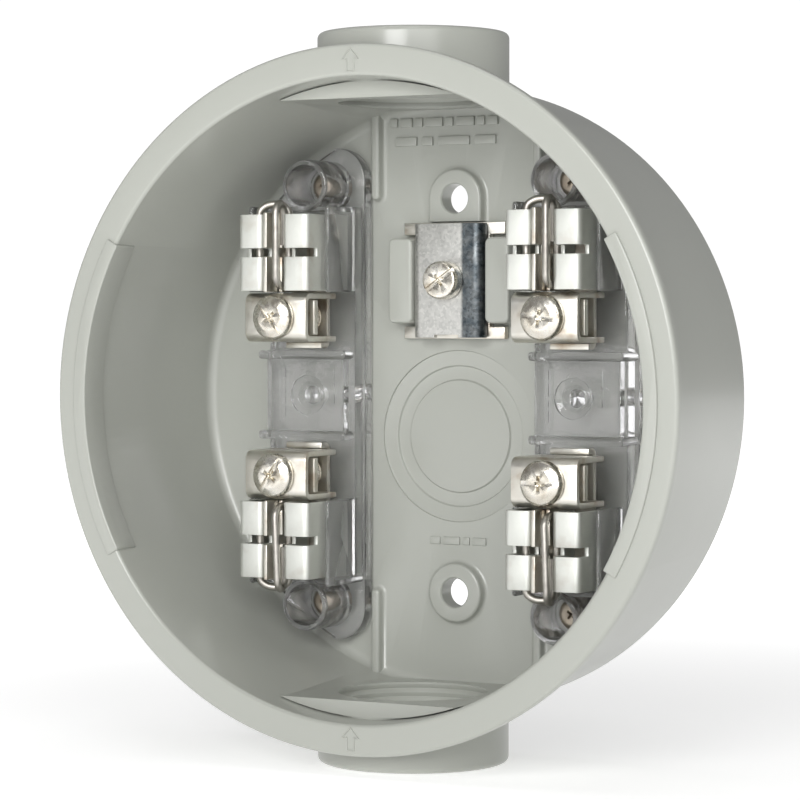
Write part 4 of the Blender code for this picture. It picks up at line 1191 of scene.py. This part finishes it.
# %% Floor and surround
floor_mesh = bmesh.new()
bmesh.ops.create_grid(floor_mesh, x_segments=2, y_segments=2, size=6.0)
studio_floor = new_object("studio_floor", floor_mesh)
studio_floor.location.z = -HUB_END - 0.0002
white, tree, shader = shader_nodes("pale_floor")
shader.inputs["Base Color"].default_value = (0.9, 0.9, 0.9, 1.0)
shader.inputs["Roughness"].default_value = 0.9
shader.inputs["Emission Color"].default_value = (1.0, 1.0, 1.0, 1.0)
spot = tree.nodes.new("ShaderNodeTexCoord")
away = tree.nodes.new("ShaderNodeVectorMath")
away.operation = "LENGTH"
tree.links.new(spot.outputs["Object"], away.inputs[0])
glow = tree.nodes.new("ShaderNodeMapRange")
glow.interpolation_type = "SMOOTHSTEP"
glow.inputs["From Min"].default_value = 0.05
glow.inputs["From Max"].default_value = 0.55
glow.inputs["To Min"].default_value = 0.5
glow.inputs["To Max"].default_value = 1.0
tree.links.new(away.outputs["Value"], glow.inputs["Value"])
tree.links.new(glow.outputs["Result"], shader.inputs["Emission Strength"])
studio_floor.data.materials.append(white)
world = bpy.data.worlds.new("studio")
bpy.context.scene.world = world
world.use_nodes = True
sky = world.node_tree.nodes["Background"]
sky.inputs["Color"].default_value = (1.0, 1.0, 1.0, 1.0)
sight = world.node_tree.nodes.new("ShaderNodeLightPath")
level = world.node_tree.nodes.new("ShaderNodeMapRange")
shine = world.node_tree.nodes.new("ShaderNodeMapRange")
shine.inputs["To Min"].default_value = 0.10
shine.inputs["To Max"].default_value = 0.30
world.node_tree.links.new(sight.outputs["Is Glossy Ray"], shine.inputs["Value"])
world.node_tree.links.new(shine.outputs["Result"], level.inputs["To Min"])
level.inputs["To Max"].default_value = 1.05
world.node_tree.links.new(sight.outputs["Is Camera Ray"], level.inputs["Value"])
world.node_tree.links.new(level.outputs["Result"], sky.inputs["Strength"])
bpy.context.scene.view_settings.view_transform = "Standard"
print("floor at", round(studio_floor.location.z, 4))

# %% [markdown]
# Three softboxes light the set: the main one large and high in front, a weaker one on the right, and a weak
# one overhead. Big lights give metal and paint their long soft reflections. A small lamp would be harsh.

# %% Softboxes
def softbox(name, place, size, power, target=(0.0, -0.03, 0.0)):
    """A square area light aimed at the socket."""
    light = bpy.data.lights.new(name, "AREA")
    light.shape = "SQUARE"
    light.size = size
    light.energy = power
    holder = bpy.data.objects.new(name, light)
    holder.location = place
    holder.rotation_euler = (Vector(target) - Vector(place)).to_track_quat("-Z", "Y").to_euler()
    bpy.context.scene.collection.objects.link(holder)
    return holder


softbox("key_softbox", (0.22, -1.62, 0.48), 0.7, 16.5)
softbox("right_softbox", (1.0, -1.1, 0.6), 0.8, 6.0)
softbox("top_softbox", (0.0, -0.2, 1.5), 1.0, 4.5)
print("lights:", len(bpy.data.lights))

# %% [markdown]
# The camera stands to the right of the mouth's axis and hardly above it, far enough away for a long lens.
# It is aimed a little to the left of the axis, which puts the socket in the middle of the frame.

# %% Camera
AZIMUTH = math.radians(27.97)
ELEVATION = math.radians(1.49)
DISTANCE = 0.8007
AIM = Vector((-0.00266, -0.030, -0.00049))
camera = bpy.data.cameras.new("camera")
camera.sensor_width = 36.0
camera.lens = 135.86
eye = bpy.data.objects.new("camera", camera)
level_part = math.cos(ELEVATION)
eye.location = DISTANCE * Vector((math.sin(AZIMUTH) * level_part, -math.cos(AZIMUTH) * level_part,
                                  math.sin(ELEVATION)))
eye.rotation_euler = (AIM - eye.location).to_track_quat("-Z", "Y").to_euler()
bpy.context.scene.collection.objects.link(eye)
bpy.context.scene.camera = eye
print("camera", [round(v, 3) for v in eye.location])

# %% [markdown]
# Last, the number of pieces made is set beside the number of pieces in the frame. Last, the
# visual model must stay the size of the frame.

# %% Count the pieces
print("pieces made:", len(MADE), "from", len(frame["nodes"]))
